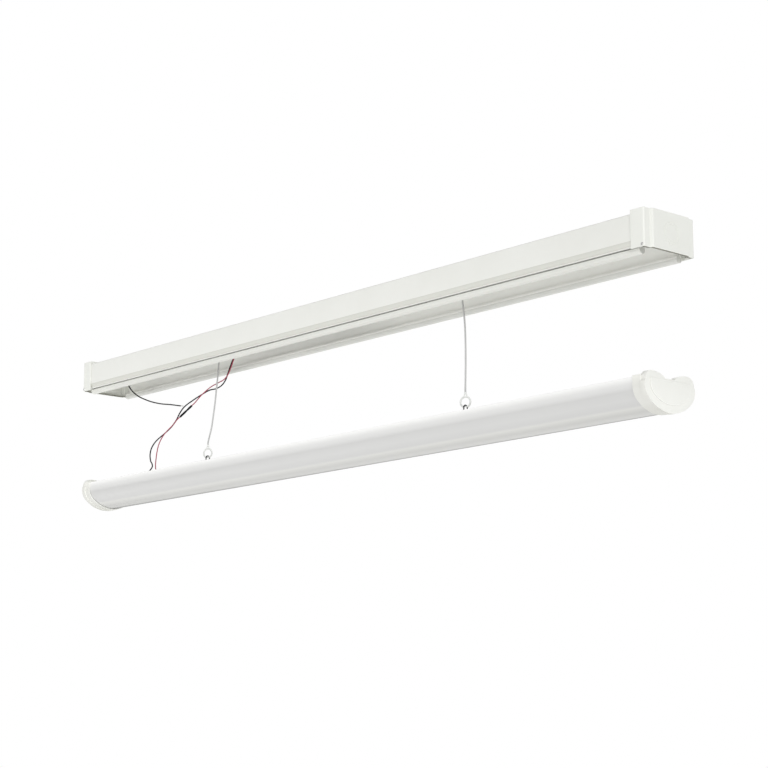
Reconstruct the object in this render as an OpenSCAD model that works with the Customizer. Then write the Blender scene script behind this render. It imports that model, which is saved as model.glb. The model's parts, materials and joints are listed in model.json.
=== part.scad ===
// Hanging shop light, shown opened for wiring.
// A steel ceiling channel with two end caps carries an LED light bar on two tethers.
// The bar can be pushed straight up, until its diffuser nests round the channel's rolled lips.
// Millimetres. The ceiling is the plane z = 0, the light runs along X, and everything hangs below.

/* [Housing] */
// Length of the housing over the flanges of its end caps
housing_length = 1219; // [1100:1:1400]
// Width of the housing over its end caps
housing_width = 91; // [88:1:94]
// Height of the housing's end caps
cap_height = 48; // [46:1:54]
// Sheet thickness of the channel
channel_sheet = 1; // [0.8:0.1:1.2]
// Wall of the housing's end caps
cap_wall = 1.2; // [1:0.1:1.6]
// How far an end cap reaches along the channel's walls
cap_wing = 21.5; // [18:0.5:23]
// Width of the raised panel in the face of an end cap
panel_width = 68; // [60:1:72]
// How far that panel stands out
panel_rise = 3.6; // [2:0.2:5]
// Gap between the ceiling and the channel's roof
roof_drop = 4; // [3:0.5:5]
// Height of the stepped foot of each wall, from the end cap's lower edge to where the wall bends
foot_height = 10.6; // [9.6:0.2:12]
// Outer radius of the rolled lip
lip_radius = 4.9; // [4.3:0.1:5.2]
// Length of the lip that is cut away at each end
lip_cut = 16.5; // [16:0.5:20]

/* [Mounting] */
// Distance from each end of the housing to the middle of its ceiling slot
slot_inset = 159.5; // [130:0.5:250]
// Width of a ceiling slot
slot_width = 6; // [5:0.5:7]
// Length of a ceiling slot, end to end
slot_length = 16; // [12:1:18]
// Distance from the left end of the housing to the supply cable's entry
feed_inset = 89.5; // [80:0.5:110]
// Bore of the bushing in that entry
feed_bore = 16; // [12:1:18]

/* [Light bar] */
// Length of the light bar over the faces of its end caps
bar_length = 1208; // [1090:1:1389]
// Width of the light bar's end caps
bar_width = 90; // [88:1:92]
// Height of the light bar's end caps, ears included
bar_height = 48; // [46:1:52]
// Distance from the ceiling to the underside of the hanging bar
hang_depth = 242.5; // [236:0.5:250]
// Wall of the light bar's end caps
bar_cap_wall = 1.6; // [1.2:0.1:2]
// Depth of the flange and ears of those caps
flange_depth = 8; // [6:0.5:10]
// Reach of those caps from their face along the diffuser
skirt_reach = 20; // [16:1:24]
// Wall of the diffuser
lens_wall = 1.6; // [1.2:0.1:2]
// Sheet thickness of the gear tray
tray_sheet = 1; // [0.8:0.1:1.2]
// Width of an LED board
board_width = 24; // [20:1:28]
// Number of LEDs on a board
leds_per_board = 12; // [8:2:14]

/* [Suspension] */
// Thickness of a tether
tether_d = 2.4; // [2:0.2:2.8]
// Mean radius of a hook's ring
ring_radius = 7; // [6.5:0.1:7.4]
// Thickness of a hook's ring
ring_wire = 2.4; // [2:0.1:2.6]
// Turn of the hooks' rings away from the length of the light
ring_turn = 25; // [0:1:40]
// Wire of the bails that the hooks hold
bail_wire = 1.8; // [1.4:0.1:2]

/* [Driver and leads] */
// Length of the driver's case
driver_length = 260; // [220:5:280]
// Width of the driver's case
driver_width = 36; // [30:1:42]
// Height of the driver's case
driver_height = 24; // [20:1:26]
// Thickness of the black leads
black_d = 2; // [1.8:0.1:2.4]
// Thickness of the red lead
red_d = 1.6; // [1.4:0.1:2]
// Thickness of the splice sleeve on the red lead
splice_d = 3.4; // [3:0.1:4]

/* [Hidden] */
$fn = 48;
fit = 0.3;              // gap between pieces that slide together
hole_gap = 0.1;         // radial gap of a pin or screw in its hole
over = 1;               // how far a cutter runs past what it cuts

// Housing
half_l = housing_length / 2;
half_w = housing_width / 2;
channel_w = half_w - cap_wall - fit;
channel_l = half_l - cap_wall - fit;
roof_z = -roof_drop;
roof_in = roof_z - channel_sheet;
cap_z = -cap_height;
roof_bend = 2.5;
foot_bend = 7;
foot_z = cap_z + foot_height;
lip_in = lip_radius - channel_sheet;
lip_y = channel_w - 10.7;
lip_z = foot_z - foot_bend - lip_in;
lip_open = 10;          // angle at which the rolled lip ends
lip_end = half_l - lip_cut;
tab_end = half_l - 12.5;
tab_z = cap_z + 0.5;
slot_x = half_l - slot_inset;
pad_r = 22;
pad_taper = 5;
arc_steps = 8;

// End cap of the housing
corner_r = 2.2;
panel_y = panel_width / 2;
panel_slope = 1.2;
knockout_small = 22.2;
knockout_large = 28.2;
knockout_z = cap_z + 22;
score_w = 0.8;
score_depth = 0.4;
cap_screw_x = half_l - 3.5;
cap_screw_z = cap_z + 3;
cap_screw_r = 1.2;

// Light bar
bar_half = bar_length / 2;
bar_w = bar_width / 2;
bar_z = -hang_depth;
ear_z = bar_z + bar_height;
belly_r = 56;
side_r = 22;
side_y = bar_w - side_r;
belly_c = bar_z + belly_r;
side_z = belly_c - sqrt(pow(belly_r - side_r, 2) - pow(side_y, 2));
side_a = atan2(side_z - belly_c, side_y);
ear_w = bar_w - 1.5;
ear_r = 11;
notch_w = 9;
notch_z = ear_z - 7;
// Rise of an ear from the notch to its top: across, up, and the share of an inset that moves each point
ear_rise = [[0, 0, 0.55, 1], [1, 1.6, 0.73, 0.73], [4, 3.5, 0.44, 0.9], [8.5, 5.1, 0.29, 0.96],
    [13.5, 6.3, 0.18, 0.98], [19, 7, 0.06, 1]];
skirt_in = 0.8;
skirt_z = ear_z - 5.2;
lens_in = 2.2;
lens_z = ear_z - 6.5;
face_in = 9.6;
face_z = ear_z - 9.5;
face_rise = 1.2;
lens_half = bar_half - bar_cap_wall - fit;
tray_z = ear_z - 10.5;
tray_under = tray_z - tray_sheet;
tray_w = bar_w - lens_in - lens_wall - fit;
tray_half = bar_half - bar_cap_wall - 0.5;
lens_lip = 1.8;
lens_lip_t = 1.5;
rail_y = 24;
rail_h = 8;

// Light engine
board_t = 1.6;
board_gap = 4;
board_margin = 12;
board_l = (2 * (tray_half - board_margin) - 3 * board_gap) / 4;
board_z = tray_under - board_t;
led_size = 5;
led_t = 0.8;
screw_r = 1.5;
screw_head_r = 2.8;
screw_head_t = 1.6;
board_screw_y = board_width / 2 - 3.2;
link_l = 14;
link_w = 5;
link_t = 3;

// Spring clips that hold the raised bar inside the lips
clip_x = [154 - bar_half, -150, 150, bar_half - 154];
clip_t = 0.8;
clip_l = 20;
clip_h = 7.5;
clip_w = lip_y - lip_radius - fit;

// Bails, hooks and tethers
bail_x = [-319.5, 255];
anchor_x = [-291, 247];
bail_r = 3.2;
ring_z = tray_z + 24.7;
ring_gap = 28;          // half the angle of a ring's mouth
tip_z = ring_z - ring_radius * cos(ring_gap);
tip_r = 1;
bail_z = tip_z + tip_r + hole_gap + bail_wire / 2 - bail_r;
loop_r = 1.7;
loop_wire = 1.6;
loop_h = 0.8;
loop_z = ring_z + ring_radius + loop_r;
loop_top = loop_z + loop_h + loop_r;
collar_r = 1.6;
collar_z = ring_z + 13;
anchor_disc_r = 6;
anchor_disc_t = 2;
anchor_stem_r = 2.5;
anchor_head_r = 4;
anchor_head_t = 1.2;

// Driver, terminal block and bushings
driver_x = -222;
driver_wall = 1;
driver_ear = 14;
driver_z = roof_in - driver_wall - driver_height;
driver_board_t = 1.6;
driver_board_z = driver_z + 5;
transformer = [28, 20, 12];
transformer_at = 110;
coil = [16, 16, 10];
coil_at = 60;
sink = [3, 24, 9];
sink_at = 90;
capacitor_r = 6;
capacitor_h = 11;
capacitor_at = [30, 160, 184];
bushing_t = 2;
lead_out = [-224, 7, -15];
lead_in = [-224, -10.5, -12];
feed_x = feed_inset - half_l;
terminal_x = 24.5 - half_l;
terminal_l = 20;
terminal_w = 30;
terminal_h = 16;
supply_y = [-9, -12];
supply_d = 2;
ground_x = 64.5 - half_l;
ground_y = 20;
feed_neck = 10.9;
feed_flange = 13.5;
feed_flange_t = 1.6;
feed_z = -0.6;
tray_bushing_x = [134 - bar_half, 92 - bar_half];
tray_bushing_y = 17.5;
tray_bushing_r = 5;
tray_neck_r = 4;
tray_collar = 1.5;

// Routes of the cords, chosen by hand
tether_left_route = [[-291, 0, -7], [-291, 0, -10], [-292, 0, -20], [-295, 0, -44], [-297, 0, -62], [-300, 0, -83],
    [-303, 0, -104], [-307, 0, -124], [-311, 0, -142], [-317, 0, -157], [-319.5, 0, -164.5],
    [-319.5, 0, -167.3]];
tether_right_route = [[247, 0, -7], [247, 0, -10], [248, 0, -20], [251, 0, -44], [254, 0, -66], [255.5, 0, -84],
    [256, 0, -104], [256, 0, -126], [255.5, 0, -146], [255, 0, -162], [255, 0, -167.3]];
black_route = [[-224, 9, -15], [-229, 9, -15], [-240, 9, -17], [-252, 9, -22], [-263, 9, -31], [-271, 9, -40],
    [-279, 9, -52], [-285, 9, -63], [-290, 9, -70], [-299, 9, -76], [-313, 9, -79], [-331, 9, -79],
    [-351, 9, -83], [-375, 9, -89], [-397, 9, -96], [-410, 9, -105], [-418, 9, -114], [-432, 9, -124],
    [-450, 9, -132], [-473, 9, -141], [-486, 9, -151], [-490, 9, -162], [-488, 9, -172],
    [-484, 9, -177], [-483, 9, -182], [-489, 9, -187], [-499, 11, -190], [-508, 15, -193],
    [-512, 17.5, -198], [-512, 17.5, -203.5]];
red_upper_route = [[-224, 5, -15], [-228, 5, -15], [-237, 5, -17], [-247, 5, -22], [-257, 5, -31], [-264, 5, -42],
    [-271, 5, -54], [-278, 5, -63], [-288, 5, -69], [-303, 5, -72], [-323, 5, -76], [-346, 5, -85],
    [-363, 5, -94.5], [-371, 5, -98]];
splice_route = [[-371, 5, -98], [-387, 5, -105], [-403, 5, -112]];
red_lower_route = [[-403, 5, -112], [-411, 5, -115.5], [-422, 5, -122.5], [-445, 5, -134], [-458, 5, -146],
    [-464, 5, -158], [-467, 5, -172], [-468, 5, -184], [-468.5, 7.5, -191], [-469.5, 13, -196],
    [-470, 17.5, -200], [-470, 17.5, -203.5]];
tap_route = [[-565, 2, -15], [-562, 2, -15], [-557, 2, -21], [-548, 2, -39], [-540, 2, -48],
    [-532, 3, -55], [-520, 3, -62], [-507, 4, -68], [-485, 5, -76], [-459, 6, -83], [-434, 7, -87.6],
    [-412, 9, -92.2], [-406, 9, -93.4]];
ferrule_route = [[-406, 9, -93.4], [-400, 9, -94.6]];
cord_rings = 3;         // rings of a tube in each stretch between two points
cord_sides = 8;

// Points of an arc about c, from angle a0 to a1
function arc(c, r, a0, a1, n = arc_steps) =
    [for (i = [0:n]) c + r * [cos(a0 + (a1 - a0) * i / n), sin(a0 + (a1 - a0) * i / n)]];
function reverse(points) = [for (i = [len(points) - 1:-1:0]) points[i]];
function flip(points) = [for (p = reverse(points)) [-p[0], p[1]]];

// A section drawn in (y, z), run along X
module along_x(x0, x1) {
    translate([x0, 0, 0])
        rotate([90, 0, 90])
            linear_extrude(x1 - x0)
                children();
}

// A box from its lowest to its highest corner
module box(low, high) {
    translate(low)
        cube(high - low);
}

// One copy at each end of the light, the left one mirrored
module both_ends() {
    children();
    mirror([1, 0, 0])
        children();
}

module both_sides() {
    children();
    mirror([0, 1, 0])
        children();
}

/* Channel */

// Outside of the bent sheet, from the roof to the end of the rolled lip
function channel_outside() = concat(
    arc([channel_w - roof_bend, roof_z - roof_bend], roof_bend, 90, 0),
    arc([channel_w - foot_bend, foot_z], foot_bend, 0, -90),
    arc([lip_y, lip_z], lip_in, 90, 360 + lip_open, 3 * arc_steps));
function channel_inside() = concat(
    arc([lip_y, lip_z], lip_radius, 360 + lip_open, 90, 3 * arc_steps),
    arc([channel_w - foot_bend, foot_z], foot_bend - channel_sheet, -90, 0),
    arc([channel_w - roof_bend, roof_z - roof_bend], roof_bend - channel_sheet, 0, 90));

module channel_section() {
    polygon(concat(channel_outside(), channel_inside(), flip(channel_inside()), flip(channel_outside())));
}

// A slot through the roof along X
module slot(x) {
    run = (slot_length - slot_width) / 2;
    for (dx = [-run, run])
        translate([x + dx, 0, roof_in - over])
            cylinder(d = slot_width, h = roof_drop + channel_sheet + 2 * over);
    box([x - run, -slot_width / 2, roof_in - over], [x + run, slot_width / 2, over]);
}

module roof_hole(x, y, r) {
    translate([x, y, roof_in - over])
        cylinder(r = r, h = channel_sheet + 2 * over);
}

// Raised pad that carries a ceiling slot up to the ceiling
module pad(x, inset) {
    translate([x, 0, roof_z - inset])
        cylinder(r1 = pad_r - inset, r2 = pad_r - pad_taper - inset, h = roof_drop);
}

module channel() {
    color([0.92, 0.92, 0.9])
        union() {
            channel_body();
            both_ends()
                both_sides()
                    channel_tab();
        }
}

module channel_body() {
    difference() {
        union() {
            along_x(-channel_l, channel_l)
                channel_section();
            for (side = [-1, 1])
                pad(side * slot_x, 0);
        }
        // the lips and the stepped feet stop short of the ends, and a tab of straight wall is left there
        both_ends()
            box([lip_end, -channel_w - over, lip_z - lip_radius - over], [channel_l + over, channel_w + over, foot_z]);
        for (side = [-1, 1]) {
            pad(side * slot_x, channel_sheet);
            slot(side * slot_x);
        }
        roof_hole(feed_x, 0, feed_neck + hole_gap);
        roof_hole(ground_x, ground_y, screw_r + hole_gap);
        for (x = anchor_x)
            roof_hole(x, 0, anchor_stem_r + hole_gap);
        for (x = driver_screw_x())
            roof_hole(x, 0, screw_r + hole_gap);
    }
}

// Straight end of the wall that takes the end cap's screw
module channel_tab() {
    difference() {
        box([tab_end, channel_w - channel_sheet, tab_z], [channel_l, channel_w, foot_z + over]);
        translate([cap_screw_x, 0, cap_screw_z])
            rotate([-90, 0, 0])
                cylinder(r = cap_screw_r + hole_gap, h = half_w);
    }
}

/* End caps of the housing */

// Plan of an end cap at +X: two wings, a flange each side and the raised panel, inset by a distance
function cap_plan(i) = concat(
    arc([half_l - corner_r, half_w - corner_r], corner_r - min(i, corner_r - 0.4), 90, 0, 4),
    [[half_l - i, panel_y + panel_slope - i / 2], [half_l + panel_rise - i, panel_y - panel_slope - i / 2]]);

module cap_area(i, reach) {
    side = concat([[half_l - reach, half_w - i]], cap_plan(i));
    polygon(concat(side, [for (p = reverse(side)) [p[0], -p[1]]]));
}

module housing_cap() {
    difference() {
        translate([0, 0, cap_z])
            linear_extrude(cap_height)
                cap_area(0, cap_wing);
        translate([0, 0, cap_z - over])
            linear_extrude(cap_height - cap_wall + over)
                cap_area(cap_wall, cap_wing + over);
        // scored rings of the two conduit knockouts
        for (d = [knockout_small, knockout_large])
            translate([half_l + panel_rise - score_depth, 0, knockout_z])
                rotate([0, 90, 0])
                    difference() {
                        cylinder(d = d, h = over);
                        translate([0, 0, -over])
                            cylinder(d = d - 2 * score_w, h = 3 * over);
                    }
        both_sides()
            translate([cap_screw_x, 0, cap_screw_z])
                rotate([-90, 0, 0])
                    cylinder(r = cap_screw_r + hole_gap, h = half_w + over);
    }
}

module housing_cap_right() {
    color([0.94, 0.94, 0.92])
        housing_cap();
}

module housing_cap_left() {
    color([0.94, 0.94, 0.92])
        mirror([1, 0, 0])
            housing_cap();
}

// A screw along +Z: a domed head at z <= 0 and a plain shank above it
module screw(head_r, head_t, shank_r, shank_l) {
    translate([0, 0, -head_t])
        cylinder(r1 = head_r * 0.75, r2 = head_r, h = head_t);
    translate([0, 0, -head_t / 2])
        cylinder(r = shank_r, h = shank_l + head_t / 2);
}

module housing_cap_screws() {
    color([0.75, 0.75, 0.74])
        both_ends()
            both_sides()
                translate([cap_screw_x, half_w, cap_screw_z])
                    rotate([90, 0, 0])
                        screw(2, 0.9, cap_screw_r, cap_wall + fit + channel_sheet + 0.4);
}

/* Supply side */

module feed_bushing() {
    color([0.15, 0.15, 0.16])
        translate([feed_x, 0, 0])
            difference() {
                union() {
                    translate([0, 0, roof_in - feed_flange_t])
                        cylinder(r = feed_flange, h = feed_flange_t);
                    translate([0, 0, roof_in - feed_flange_t])
                        cylinder(r = feed_neck, h = feed_z - roof_in + feed_flange_t);
                }
                translate([0, 0, roof_in - feed_flange_t - over])
                    cylinder(d = feed_bore, h = feed_z - roof_in + feed_flange_t + 2 * over);
            }
}

module terminal_block() {
    pitch = terminal_w / 3;
    color([0.85, 0.84, 0.78])
        difference() {
            box([terminal_x, -terminal_w / 2, roof_in - terminal_h],
                [terminal_x + terminal_l, terminal_w / 2, roof_in]);
            for (k = [-1:1]) {
                translate([terminal_x - over, k * pitch, roof_in - terminal_h / 2])
                    rotate([0, 90, 0])
                        cylinder(r = 2.2, h = terminal_l / 2);
                translate([terminal_x + terminal_l / 2, k * pitch, roof_in - terminal_h - over])
                    cylinder(r = 2.6, h = 4 + over);
            }
        }
}

module terminal_screws() {
    pitch = terminal_w / 3;
    color([0.78, 0.66, 0.36])
        for (k = [-1:1])
            translate([terminal_x + terminal_l / 2, k * pitch, roof_in - terminal_h + 2])
                cylinder(r = 2.3, h = 2);
}

module ground_screw() {
    color([0.2, 0.55, 0.3])
        translate([ground_x, ground_y, roof_in])
            screw(3.6, 2.4, screw_r, channel_sheet + 2);
}

module supply_leads() {
    start = terminal_x + terminal_l;
    color([0.12, 0.12, 0.13])
        for (y = supply_y)
            translate([start, y, lead_in[2]])
                rotate([0, 90, 0])
                    cylinder(d = supply_d, h = lead_in[0] - start);
}

/* Driver */

function driver_screw_x() = [driver_x - driver_ear / 2, driver_x + driver_length + driver_ear / 2];

module driver_base() {
    color([0.8, 0.8, 0.8])
        difference() {
            box([driver_x - driver_ear, -driver_width / 2, roof_in - driver_wall],
                [driver_x + driver_length + driver_ear, driver_width / 2, roof_in]);
            for (x = driver_screw_x())
                translate([x, 0, roof_in - driver_wall - over])
                    cylinder(r = screw_r + hole_gap, h = driver_wall + 2 * over);
        }
}

module driver_case() {
    color([0.88, 0.88, 0.87])
        difference() {
            box([driver_x, -driver_width / 2, driver_z],
                [driver_x + driver_length, driver_width / 2, roof_in - driver_wall]);
            box([driver_x + driver_wall, -driver_width / 2 + driver_wall, driver_z + driver_wall],
                [driver_x + driver_length - driver_wall, driver_width / 2 - driver_wall, roof_in]);
        }
}

module driver_board() {
    rim = driver_wall + fit;
    color([0.2, 0.45, 0.3])
        box([driver_x + rim, -driver_width / 2 + rim, driver_board_z],
            [driver_x + driver_length - rim, driver_width / 2 - rim, driver_board_z + driver_board_t]);
}

// Transformer, filter coil, heat sink and capacitors on the driver's board
module driver_components() {
    color([0.3, 0.3, 0.32]) {
        driver_block(transformer_at, transformer);
        driver_block(coil_at, coil);
        driver_block(sink_at, sink);
        for (at = capacitor_at)
            translate([driver_x + at, 0, driver_board_z + driver_board_t])
                cylinder(r = capacitor_r, h = capacitor_h);
    }
}

// A block of a size, standing on the driver's board at a distance from its left end
module driver_block(at, size) {
    translate([driver_x + at, -size[1] / 2, driver_board_z + driver_board_t])
        cube(size);
}

module driver_bushings() {
    color([0.12, 0.12, 0.13])
        for (at = [lead_out, lead_in])
            translate([at[0], at[1], at[2]])
                rotate([0, 90, 0])
                    cylinder(r1 = 4, r2 = 4.8, h = bushing_t);
}

module driver_screws() {
    color([0.75, 0.75, 0.75])
        for (x = driver_screw_x())
            translate([x, 0, roof_in - driver_wall])
                screw(screw_head_r, screw_head_t, screw_r, driver_wall + channel_sheet + 1);
}

/* Tethers, hooks and bails */

module tether_anchor(x) {
    color([0.9, 0.9, 0.9])
        translate([x, 0, 0]) {
            translate([0, 0, roof_in - anchor_disc_t])
                cylinder(r = anchor_disc_r, h = anchor_disc_t);
            translate([0, 0, roof_in - anchor_disc_t])
                cylinder(r = anchor_stem_r, h = anchor_disc_t + channel_sheet + anchor_head_t);
            translate([0, 0, roof_z])
                cylinder(r1 = anchor_head_r, r2 = anchor_stem_r, h = anchor_head_t);
        }
}

module tether_anchor_left() tether_anchor(anchor_x[0]);
module tether_anchor_right() tether_anchor(anchor_x[1]);

// An upright part of a ring: centre at the origin, in the XZ plane, angles counted from +X
module ring(r, wire, from, sweep) {
    rotate([90, 0, 0])
        rotate([0, 0, from])
            rotate_extrude(angle = sweep, $fn = 64)
                translate([r, 0])
                    circle(d = wire, $fn = 24);
}

// Snap hook: a small eye for the tether over an open ring, whose tips meet inside the bail
module hook(x) {
    color([0.9, 0.91, 0.9])
        translate([x, 0, 0])
            rotate([0, 0, ring_turn]) {
                translate([0, 0, ring_z])
                    ring(ring_radius, ring_wire, ring_gap - 90, 360 - 2 * ring_gap);
                for (side = [-1, 1])
                    translate([side * (ring_radius * sin(ring_gap) + 0.3), 0, tip_z])
                        rotate([0, -side * 90, 0])
                            cylinder(r = tip_r, h = ring_radius * sin(ring_gap) - 0.1);
                translate([0, loop_wire / 2, loop_z])
                    rotate([90, 0, 0])
                        linear_extrude(loop_wire)
                            difference() {
                                eye(loop_r + loop_wire / 2);
                                eye(loop_r - loop_wire / 2);
                            }
                translate([0, 0, loop_top])
                    cylinder(r = collar_r, h = collar_z - loop_top);
            }
}

// Outline of the eye: a slot with round ends
module eye(r) {
    circle(r = r);
    translate([0, loop_h])
        circle(r = r);
    translate([-r, 0])
        square([2 * r, loop_h]);
}

module hook_left() hook(bail_x[0]);
module hook_right() hook(bail_x[1]);

// Upright wire bail across the tray, its legs let into the sheet
module bail(x) {
    color([0.13, 0.13, 0.14])
        translate([x, 0, 0])
            rotate([0, 0, 90]) {
                translate([0, 0, bail_z])
                    ring(bail_r, bail_wire, 0, 180);
                for (side = [-1, 1])
                    translate([side * bail_r, 0, tray_under])
                        cylinder(d = bail_wire, h = bail_z - tray_under);
            }
}

module bail_left() bail(bail_x[0]);
module bail_right() bail(bail_x[1]);

/* Cords */

// A smooth curve through the points of a route
function curve_point(p, i, t) =
    let (a = p[max(i - 1, 0)], b = p[i], c = p[i + 1], d = p[min(i + 2, len(p) - 1)])
    0.5 * (2 * b + (c - a) * t + (2 * a - 5 * b + 4 * c - d) * t * t + (3 * b - a - 3 * c + d) * t * t * t);
function curve(p, steps) = concat(
    [for (i = [0:len(p) - 2]) for (k = [0:steps - 1]) curve_point(p, i, k / steps)], [p[len(p) - 1]]);
function unit(v) = v / norm(v);
// Direction of the curve c at its point i; at the ends, that of the route's own first and last stretch
function heading(route, c, i) = i == 0 ? unit(route[1] - route[0])
    : i == len(c) - 1 ? unit(route[len(route) - 1] - route[len(route) - 2])
    : unit(c[i + 1] - c[i - 1]);
// Corner k of the ring at p, square to t; no route runs along Y, so Y sets the rings' turn
function ring_point(p, t, k, r) =
    let (u = unit(cross(t, [0, 1, 0])), v = cross(t, u), a = 360 * k / cord_sides)
    p + r * (cos(a) * u + sin(a) * v);

module cord(route, d, steps = cord_rings) {
    c = curve(route, steps);
    n = len(c);
    s = cord_sides;
    points = [for (i = [0:n - 1]) for (k = [0:s - 1]) ring_point(c[i], heading(route, c, i), k, d / 2)];
    sides = [for (i = [0:n - 2]) for (k = [0:s - 1]) for (half = [0, 1])
        let (a = i * s + k, b = i * s + (k + 1) % s)
        half == 0 ? [a, b, b + s] : [a, b + s, a + s]];
    ends = [for (k = [1:s - 2]) for (e = [0, 1])
        e == 0 ? [0, k + 1, k] : [(n - 1) * s, (n - 1) * s + k, (n - 1) * s + k + 1]];
    polyhedron(points = points, faces = concat(sides, ends));
}

module tether_left() {
    color([0.82, 0.83, 0.83])
        cord(tether_left_route, tether_d);
}

module tether_right() {
    color([0.82, 0.83, 0.83])
        cord(tether_right_route, tether_d);
}

module lead_black() {
    color([0.08, 0.08, 0.09])
        cord(black_route, black_d);
}

module lead_red_upper() {
    color([0.72, 0.3, 0.36])
        cord(red_upper_route, red_d);
}

module red_splice() {
    color([0.05, 0.05, 0.06])
        cord(splice_route, splice_d);
}

module lead_red_lower() {
    color([0.72, 0.3, 0.36])
        cord(red_lower_route, red_d);
}

module lead_tap() {
    color([0.08, 0.08, 0.09])
        cord(tap_route, black_d);
}

module tap_ferrule() {
    color([0.8, 0.8, 0.78])
        cord(ferrule_route, black_d);
}

/* Light bar */

// Belly of the bar inset by i, from the foot of its right side to that of its left side
function belly(i) = concat(
    arc([side_y, side_z], side_r - i, 0, side_a),
    arc([0, belly_c], belly_r - i, side_a, -180 - side_a, 3 * arc_steps),
    arc([-side_y, side_z], side_r - i, -180 - side_a, -180));
// The same with straight sides up to height z
function basket(i, z) = concat([[bar_w - i, z]], belly(i), [[i - bar_w, z]]);
// Right ear of an end cap inset by i, from the notch over the ear to its shoulder
function ear(i) = concat(
    [for (p = ear_rise) [notch_w + p[0] + p[2] * i, notch_z + p[1] - p[3] * i]],
    arc([ear_w - ear_r, ear_z - ear_r], ear_r - i, 90, 0),
    [[ear_w - i, ear_z - ear_r - 0.8 - 0.3 * i], [bar_w - i, ear_z - ear_r - 3 - 0.3 * i]]);

module cap_outline(i) {
    polygon(concat(ear(i), belly(i), flip(ear(i))));
}

module bar_cap() {
    difference() {
        along_x(bar_half - flange_depth, bar_half)
            cap_outline(0);
        along_x(bar_half - flange_depth - over, bar_half - bar_cap_wall) {
            cap_outline(bar_cap_wall);
            polygon(basket(lens_in - fit, lens_z + fit));
        }
    }
    along_x(bar_half - skirt_reach, bar_half - flange_depth + over)
        polygon(concat(basket(skirt_in, skirt_z), reverse(basket(lens_in - fit, skirt_z))));
    // raised panel in the face
    along_x(bar_half - over, bar_half + face_rise)
        polygon(basket(face_in, face_z));
    // ribs that hold the end of the tray
    both_sides()
        for (z = [tray_z + fit, tray_under - fit - lens_lip_t])
            box([lip_end + 1, rail_y + 4, z], [bar_half - over, rail_y + 12, z + lens_lip_t]);
}

module bar_cap_right() {
    color([0.95, 0.95, 0.92])
        bar_cap();
}

module bar_cap_left() {
    color([0.95, 0.95, 0.92])
        mirror([1, 0, 0])
            bar_cap();
}

// Inner face of the right wall of the diffuser, with the two short lips that hold the tray's edge
function lens_edge() = let (y = bar_w - lens_in - lens_wall, z = tray_z + fit, low = tray_under - fit)
    [[y, lens_z], [y, z + lens_lip_t], [y - lens_lip, z + lens_lip_t], [y - lens_lip, z], [y, z],
     [y, low], [y - lens_lip, low], [y - lens_lip, low - lens_lip_t], [y, low - lens_lip_t]];

module lens() {
    color([0.93, 0.94, 0.96, 0.9])
        along_x(-lens_half, lens_half)
            polygon(concat(basket(lens_in, lens_z),
                reverse(concat(lens_edge(), belly(lens_in + lens_wall), flip(lens_edge())))));
}

// Right half of the tray's section, from its top to the rail under it
function tray_edge() = [[tray_w, tray_z], [tray_w, tray_under], [rail_y + tray_sheet, tray_under],
    [rail_y + tray_sheet, tray_under - rail_h], [rail_y, tray_under - rail_h], [rail_y, tray_under]];

module tray() {
    color([0.9, 0.9, 0.89])
        difference() {
            along_x(-tray_half, tray_half)
                polygon(concat(tray_edge(), flip(tray_edge())));
            for (x = bail_x, side = [-1, 1])
                tray_hole(x, side * bail_r, bail_wire / 2 + hole_gap);
            for (x = tray_bushing_x)
                tray_hole(x, tray_bushing_y, tray_neck_r + hole_gap);
            for (x = clip_x)
                tray_hole(x, 0, screw_r + hole_gap);
            board_screw_places()
                translate([0, 0, -over])
                    cylinder(r = screw_r + hole_gap, h = board_t + tray_sheet + 2 * over);
        }
}

module tray_hole(x, y, r) {
    translate([x, y, tray_under - over])
        cylinder(r = r, h = tray_sheet + 2 * over);
}

// Spring clips on the tray: a strap with a leg up each side, which springs inside the lips
module spring_clips() {
    color([0.7, 0.71, 0.73])
        for (x = clip_x)
            difference() {
                translate([x - clip_l / 2, 0, 0])
                    along_x(0, clip_l)
                        polygon(clip_section());
                translate([x, 0, tray_z - over])
                    cylinder(r = screw_r + hole_gap, h = clip_t + 2 * over);
            }
}

function clip_section() = concat(
    [[clip_w, tray_z], [clip_w, tray_z + clip_h - 2], [clip_w - 1.5, tray_z + clip_h],
     [clip_w - 1.5 - clip_t, tray_z + clip_h], [clip_w - clip_t, tray_z + clip_h - 2.4],
     [clip_w - clip_t, tray_z + clip_t]],
    [[-(clip_w - clip_t), tray_z + clip_t], [-(clip_w - clip_t), tray_z + clip_h - 2.4],
     [-(clip_w - 1.5 - clip_t), tray_z + clip_h], [-(clip_w - 1.5), tray_z + clip_h],
     [-clip_w, tray_z + clip_h - 2], [-clip_w, tray_z]]);

// A rivet through each clip and the tray, its flat tail just under the sheet
module clip_rivets() {
    color([0.78, 0.78, 0.8])
        for (x = clip_x)
            translate([x, 0, 0]) {
                translate([0, 0, tray_under])
                    cylinder(r = screw_r, h = tray_sheet + clip_t + screw_head_t / 4);
                translate([0, 0, tray_z + clip_t])
                    cylinder(r1 = screw_head_r, r2 = screw_head_r * 0.7, h = screw_head_t / 2);
            }
}

module tray_bushings() {
    color([0.12, 0.12, 0.13])
        for (x = tray_bushing_x)
            translate([x, tray_bushing_y, 0]) {
                translate([0, 0, tray_z])
                    cylinder(r1 = tray_bushing_r, r2 = tray_bushing_r - 1, h = tray_collar);
                translate([0, 0, board_z])
                    cylinder(r = tray_neck_r, h = board_t + tray_sheet + tray_collar / 2);
                translate([0, 0, board_z])
                    cylinder(r = tray_bushing_r, h = board_t);
            }
}

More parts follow.
